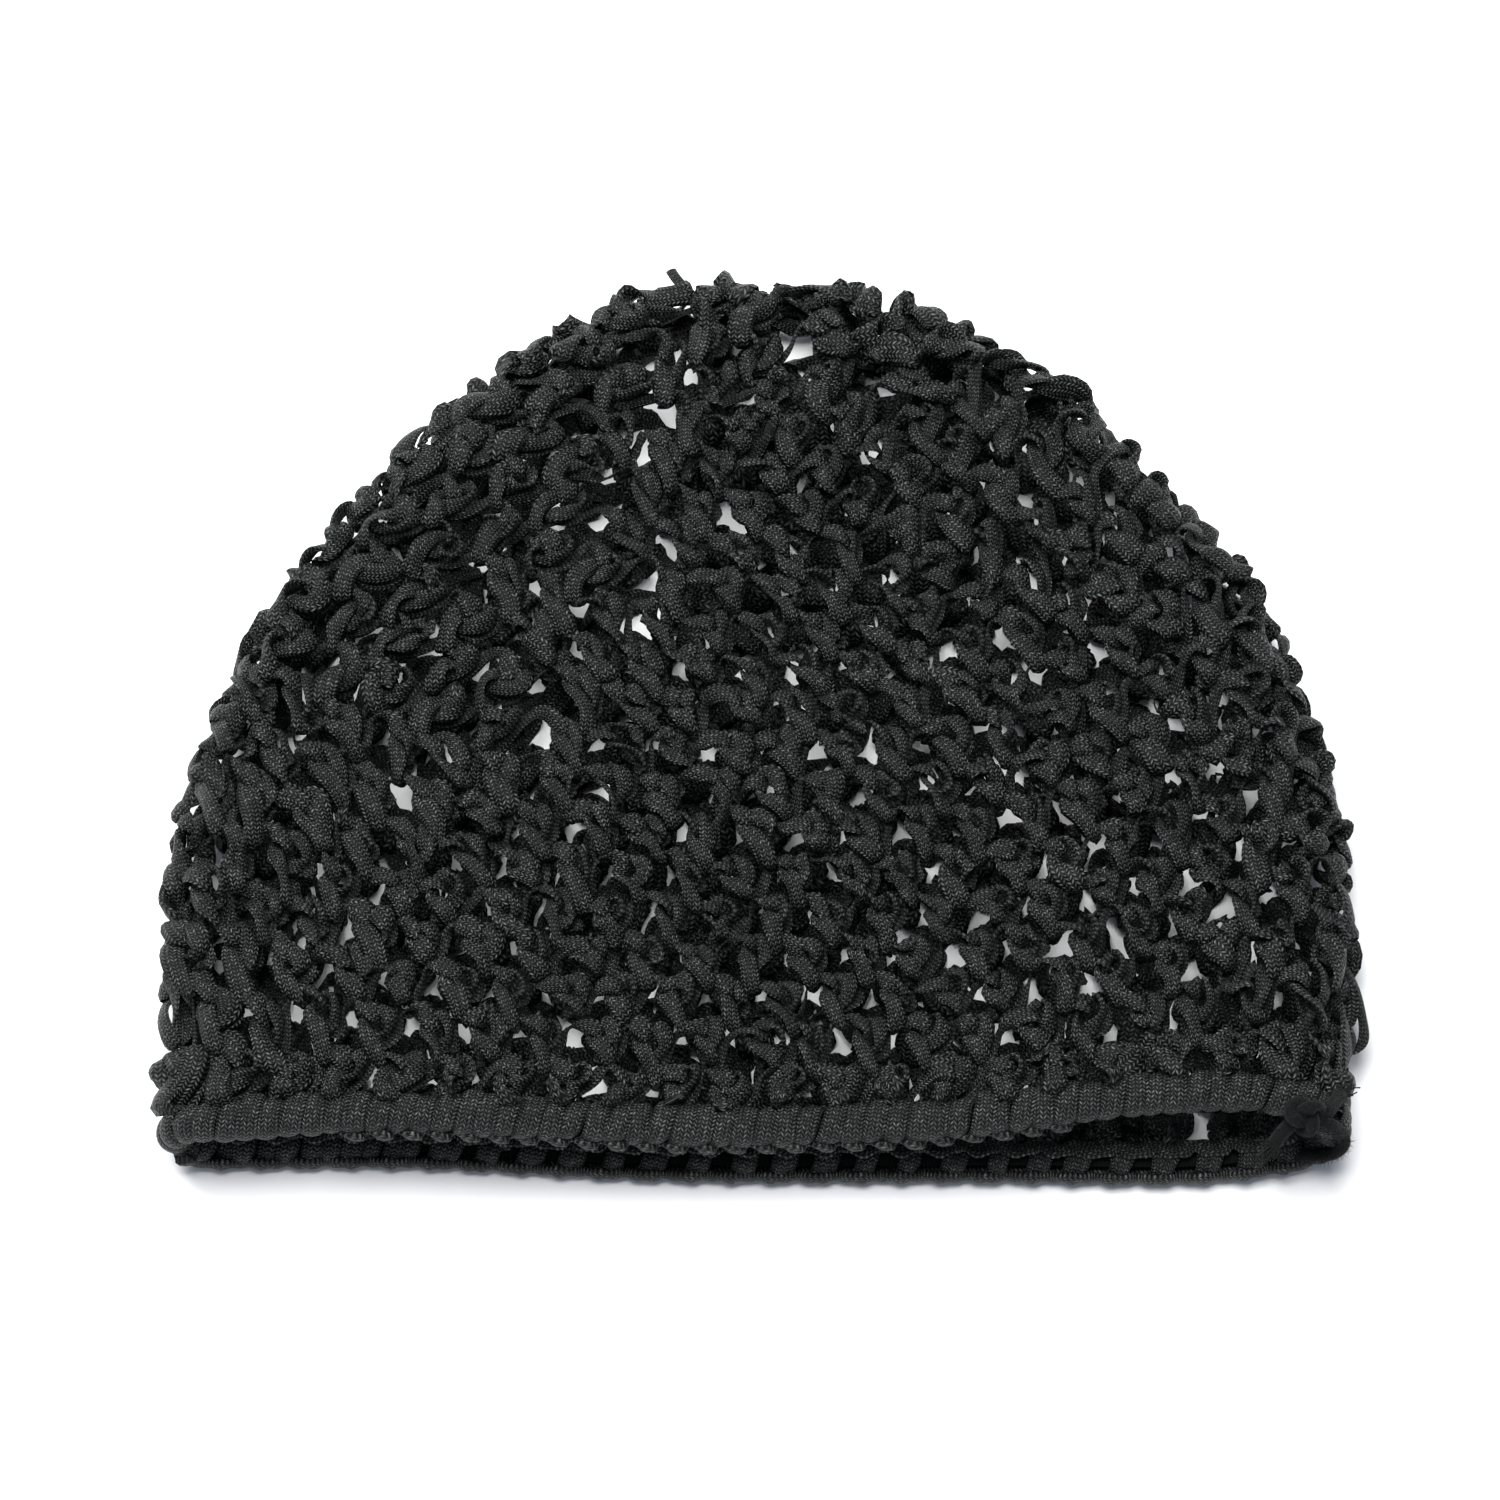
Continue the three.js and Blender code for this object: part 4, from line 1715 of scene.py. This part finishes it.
@dataclass
class RolledRim(SubAssembly):
    """The rolled rim: ribbon wound closely round the elastic, with loops and rails along its edges.

    Attributes:
        line: line of the rim.
        sweep: what draws the ribbon.
        finish: material of the ribbon.
        wraps: the wound ribbon.
        chain: the loops at the mouth.
        rails: the ribbon along the openings of the lower layer.
        lining: the ribbon under and behind the elastic.
    """

    NODE = Node.RIM
    SLOT = Slot.RIBBON

    line: RimLine
    sweep: PathSweep
    finish: bpy.types.Material
    wraps: RimWraps = RimWraps()
    chain: RimChain = RimChain()
    rails: RimRails = RimRails()
    lining: RimLining = RimLining()

    def build(self) -> list[bpy.types.Object]:
        """Winds the ribbon and works the edges.

        Returns:
            The pieces.
        """
        rng = np.random.default_rng(SEED + 1)
        works = (
            ("rim_wraps", [self.wraps.wound(self.line, rng)], self.wraps.section),
            ("rim_chain", [self.chain.looped(self.line, rng)], self.chain.section),
            ("rim_rails", self.rails.laid(self.line, rng), self.rails.section),
            ("rim_lining", self.lining.laid(self.line), self.lining.section),
        )
        return [self.sweep.draw(name, strands, section, self.finish) for name, strands, section in works]


@dataclass
class KnottedElastic(SubAssembly):
    """The round elastic inside the rim, its knot and its two tails at the right corner.

    Attributes:
        line: line of the rim.
        sweep: what draws the cord.
        fluff: what grows hairs on the knot.
        finish: material of the cord.
        cord: the elastic.
        thread: a thread of its cover.
        knot_turn: share of the way round the rim where the knot sits.
        knot_angle: its angle about the rim's line, in degrees.
        knot_lift: distance of its middle from the line.
        knot_size: a third of the radius of its loops.
        knot_depth: how far strands swing in and out where they cross, in knot sizes.
        knot_points: points of its loops.
        tails: bend and cut end of each tail.
        slack: run of the elastic from the knot down into the lower layer.
        threads: frayed threads at a cut end.
        thread_root: how far inside the cut end they start.
        thread_core: radius about which they start.
        thread_spread: nearest and farthest start, in these radii.
        thread_lengths: shortest and longest thread.
        thread_splay: how far they splay.
        thread_bend: how far they bend.
    """

    NODE = Node.CORD
    SLOT = Slot.ELASTIC

    line: RimLine
    sweep: PathSweep
    fluff: FluffScatter
    finish: bpy.types.Material
    cord: Section = Section(2.3, 2.3, 0.0, 12)
    thread: Section = Section(0.22, 0.22, 0.0, 4)
    knot_turn: float = 1.5 / 56
    knot_angle: float = 36.0
    knot_lift: float = 6.4
    knot_size: float = 0.8
    knot_depth: float = 1.3
    knot_points: int = 72
    tails: tuple[tuple[Point, Point], ...] = (
        ((88.4, -68.0, 20.4), (91.0, -64.2, 16.0)),
        ((81.5, -71.5, 20.5), (79.5, -73.8, 17.5)),
    )
    slack: tuple[Point, ...] = (
        (89.4, -70.6, 18.5),
        (91.2, -71.6, 13.5),
        (89.6, -72.2, 8.0),
        (84.0, -71.4, 4.2),
    )
    threads: int = 46
    thread_root: float = 1.2
    thread_core: float = 0.55
    thread_spread: tuple[float, float] = (0.2, 1.3)
    thread_lengths: tuple[float, float] = (1.6, 3.2)
    thread_splay: float = 0.75
    thread_bend: float = 0.25

    def build(self) -> list[bpy.types.Object]:
        """Makes the elastic.

        Returns:
            The pieces.
        """
        rng = np.random.default_rng(SEED + 2)
        seat, away = self.line.around(
            np.array([self.knot_turn]), np.radians([self.knot_angle]), np.array([self.knot_lift])
        )
        centre = seat[0]
        strands = [self._knot(centre, away[0])]
        strands += [self._cord([centre, *places]) for places in (*self.tails, self.slack)]
        knot = self.sweep.draw("elastic_knot", strands, self.cord, self.finish)
        ring = Strand.cord(self.line.points, self.line.out, True)
        threads = [t for bend, end in self.tails for t in self._fray(rng, np.array(bend), np.array(end))]
        return [
            self.sweep.draw("elastic_ring", [ring], self.cord, self.finish),
            knot,
            self.sweep.draw("elastic_frayed_ends", threads, self.thread, self.finish),
            self.fluff.grow("elastic_fluff", knot, self.finish),
        ]

    def _knot(self, centre: Array, away: Array) -> Strand:
        """Overhand knot, drawn as a closed loop that crosses itself three times.

        Args:
            centre: middle of the knot.
            away: direction that the knot faces.

        Returns:
            The strand.
        """
        turn = np.linspace(0, 2 * np.pi, self.knot_points, endpoint=False)
        side = unit(np.cross((0.0, 0.0, 1.0), away))
        up = np.cross(away, side)
        flat = self.knot_size * np.column_stack(
            [np.sin(turn) + 2 * np.sin(2 * turn), np.cos(turn) - 2 * np.cos(2 * turn)]
        )
        points = centre + flat[:, :1] * side + flat[:, 1:] * up
        points -= (self.knot_depth * self.knot_size * np.sin(3 * turn))[:, None] * away
        return Strand.cord(points, away, True)

    def _cord(self, places: list[Array | Point]) -> Strand:
        """Runs cord smoothly through places.

        Args:
            places: points that it runs through.

        Returns:
            The strand.
        """
        fine, points_each = 16, 8
        knots = np.array([places[0], *places, places[-1]], float)
        points = resampled(curved(knots, fine), points_each * len(places))
        return Strand.cord(points, np.array([0.0, 0.0, 1.0]), False)

    def _fray(self, rng: np.random.Generator, bend: Array, end: Array) -> list[Strand]:
        """Threads that splay from the cut end of a tail.

        Args:
            rng: source of the unevenness of the threads.
            bend: place before the end.
            end: the cut end.

        Returns:
            The threads.
        """
        way = unit(end - bend)
        threads = []
        for _ in range(self.threads):
            stray = rng.normal(0, 1, 3)
            aside = self.thread_core * unit(stray) * rng.uniform(*self.thread_spread)
            start = end - self.thread_root * way + aside
            tip = start + way * rng.uniform(*self.thread_lengths) + stray * self.thread_splay
            middle = (start + tip) / 2 + rng.normal(0, self.thread_bend, 3)
            threads.append(self._cord([start, middle, tip]))
        return threads


@dataclass
class SlackRibbon(SubAssembly):
    """The slack loop at the right side and the cut end of the ribbon at the top.

    Attributes:
        sweep: what draws the ribbon.
        finish: material of the ribbon.
        section: the ribbon.
        loop_facing: way that the loop's flat side faces.
        loop: places that the loop runs through.
        end_facing: way that the cut end's flat side faces.
        end: places that the cut end runs through.
    """

    NODE = Node.CROWN
    SLOT = Slot.RIBBON

    sweep: PathSweep
    finish: bpy.types.Material
    section: Section = Section(1.8, 0.8, 0.0, 10)
    loop_facing: Point = (0.6, 0.0, 0.8)
    loop: tuple[Point, ...] = (
        (85.0, -36.0, 12.0),
        (90.2, -39.8, 11.0),
        (93.8, -44.8, 9.5),
        (95.2, -50.0, 8.5),
        (95.3, -53.8, 8.0),
        (93.4, -55.8, 8.2),
        (91.4, -53.6, 9.4),
        (93.0, -52.4, 10.2),
        (93.4, -55.2, 9.8),
        (90.5, -58.5, 9.0),
        (86.0, -60.0, 9.0),
    )
    end_facing: Point = (0.0, 0.3, 1.0)
    end: tuple[Point, ...] = (
        (-8.0, 68.0, 10.5),
        (-11.0, 71.5, 11.5),
        (-13.4, 74.4, 11.0),
        (-14.6, 76.6, 10.0),
    )

    def build(self) -> list[bpy.types.Object]:
        """Makes both runs of ribbon.

        Returns:
            The pieces.
        """
        runs = {"slack_loop": (self.loop, self.loop_facing), "cut_end": (self.end, self.end_facing)}
        return [
            self.sweep.draw(name, [self._run(places, facing)], self.section, self.finish)
            for name, (places, facing) in runs.items()
        ]

    def _run(self, places: tuple[Point, ...], facing: Point) -> Strand:
        """Runs ribbon smoothly through places.

        Args:
            places: points that it runs through.
            facing: way that its flat side faces on straight runs.

        Returns:
            The strand.
        """
        fine, points_each = 12, 7
        knots = np.array([places[0], *places, places[-1]], float)
        points = resampled(curved(knots, fine), points_each * len(places))
        return Strand.ribbon(points, np.tile(np.array(facing), (len(points), 1)), False)


@dataclass(frozen=True)
class Softbox:
    """A square soft light that faces the net: its place and side in metres, its power in watts."""

    name: str
    place: Point
    side: float
    power: float

    def hang(self) -> None:
        """Hangs the light."""
        lamp = bpy.data.lights.new(self.name, "AREA")
        lamp.size = self.side
        lamp.energy = self.power
        light = bpy.data.objects.new(self.name, lamp)
        light.location = self.place
        light.rotation_mode = "QUATERNION"
        light.rotation_quaternion = (-Vector(self.place)).to_track_quat("-Z", "Y")
        bpy.context.scene.collection.objects.link(light)


@dataclass
class Studio:
    """White paper, soft light and the camera.

    Attributes:
        paper: half the side of the paper, in metres.
        room: colour of the light that the room gives back.
        room_light: strength of that light.
        lights: a wide soft light overhead and a smaller one at the top left.
        aim: point that the camera faces.
        elevation: angle of the camera over the floor, in degrees.
        view: width of the picture at the aim.
        lens: focal length.
        sensor: width of the sensor.
    """

    paper: float = 2.0
    room: str = "#e4edff"
    room_light: float = 0.3
    lights: tuple[Softbox, ...] = (
        Softbox("overhead_softbox", (-0.06, 0.2, 1.3), 0.7, 26.0),
        Softbox("side_softbox", (-0.5, 0.6, 0.9), 0.5, 11.0),
    )
    aim: Point = (-1.6, -5.8, 9.0)
    elevation: float = 72.0
    view: float = 240.4
    lens: float = 150.0
    sensor: float = 36.0

    def build(self) -> None:
        """Sets up the floor, the light and the camera."""
        self._floor()
        self._light()
        self._camera()

    def _floor(self) -> None:
        """Lays the paper."""
        mesh = bpy.data.meshes.new("background_paper")
        corners = [(x * self.paper, y * self.paper, 0) for x, y in ((-1, -1), (1, -1), (1, 1), (-1, 1))]
        mesh.from_pydata(corners, [], [(0, 1, 2, 3)])
        mesh.materials.append(WhitePaperFinish().make())
        floor = bpy.data.objects.new("background_paper", mesh)
        bpy.context.scene.collection.objects.link(floor)

    def _light(self) -> None:
        """Hangs the soft lights in a pale room."""
        world = bpy.data.worlds.new("pale_room")
        world.use_nodes = True
        sky = world.node_tree.nodes["Background"]
        sky.inputs["Color"].default_value = linear(self.room)
        sky.inputs["Strength"].default_value = self.room_light
        bpy.context.scene.world = world
        for light in self.lights:
            light.hang()

    def _camera(self) -> None:
        """Stands the camera where the photo was taken from."""
        data = bpy.data.cameras.new("camera")
        data.lens = self.lens
        data.sensor_width = self.sensor
        camera = bpy.data.objects.new("camera", data)
        tilt = math.radians(self.elevation)
        back = Vector((0.0, -math.cos(tilt), math.sin(tilt)))
        distance = self.view * self.lens / self.sensor
        camera.location = (Vector(self.aim) + back * distance) * MM
        camera.rotation_mode = "QUATERNION"
        camera.rotation_quaternion = (-back).to_track_quat("-Z", "Y")
        bpy.context.scene.collection.objects.link(camera)
        bpy.context.scene.camera = camera
        bpy.context.scene.view_settings.view_transform = "Standard"


def main() -> None:
    logging.basicConfig(level=logging.INFO, format="%(name)s: %(message)s")
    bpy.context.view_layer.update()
    surface = NetSurface(NetForm())
    sweep = PathSweep()
    ribbon = KnittedRibbonFinish().make()
    elastic = CoveredElasticFinish().make()
    line = RimLine(surface.form)
    parts = (
        CrownNet(surface, sweep, ribbon),
        SlackRibbon(sweep, ribbon),
        RolledRim(line, sweep, ribbon),
        KnottedElastic(line, sweep, FluffScatter(), elastic),
    )
    for part in parts:
        part.dress(part.build())
    Studio().build()


if __name__ == "__main__":
    main()
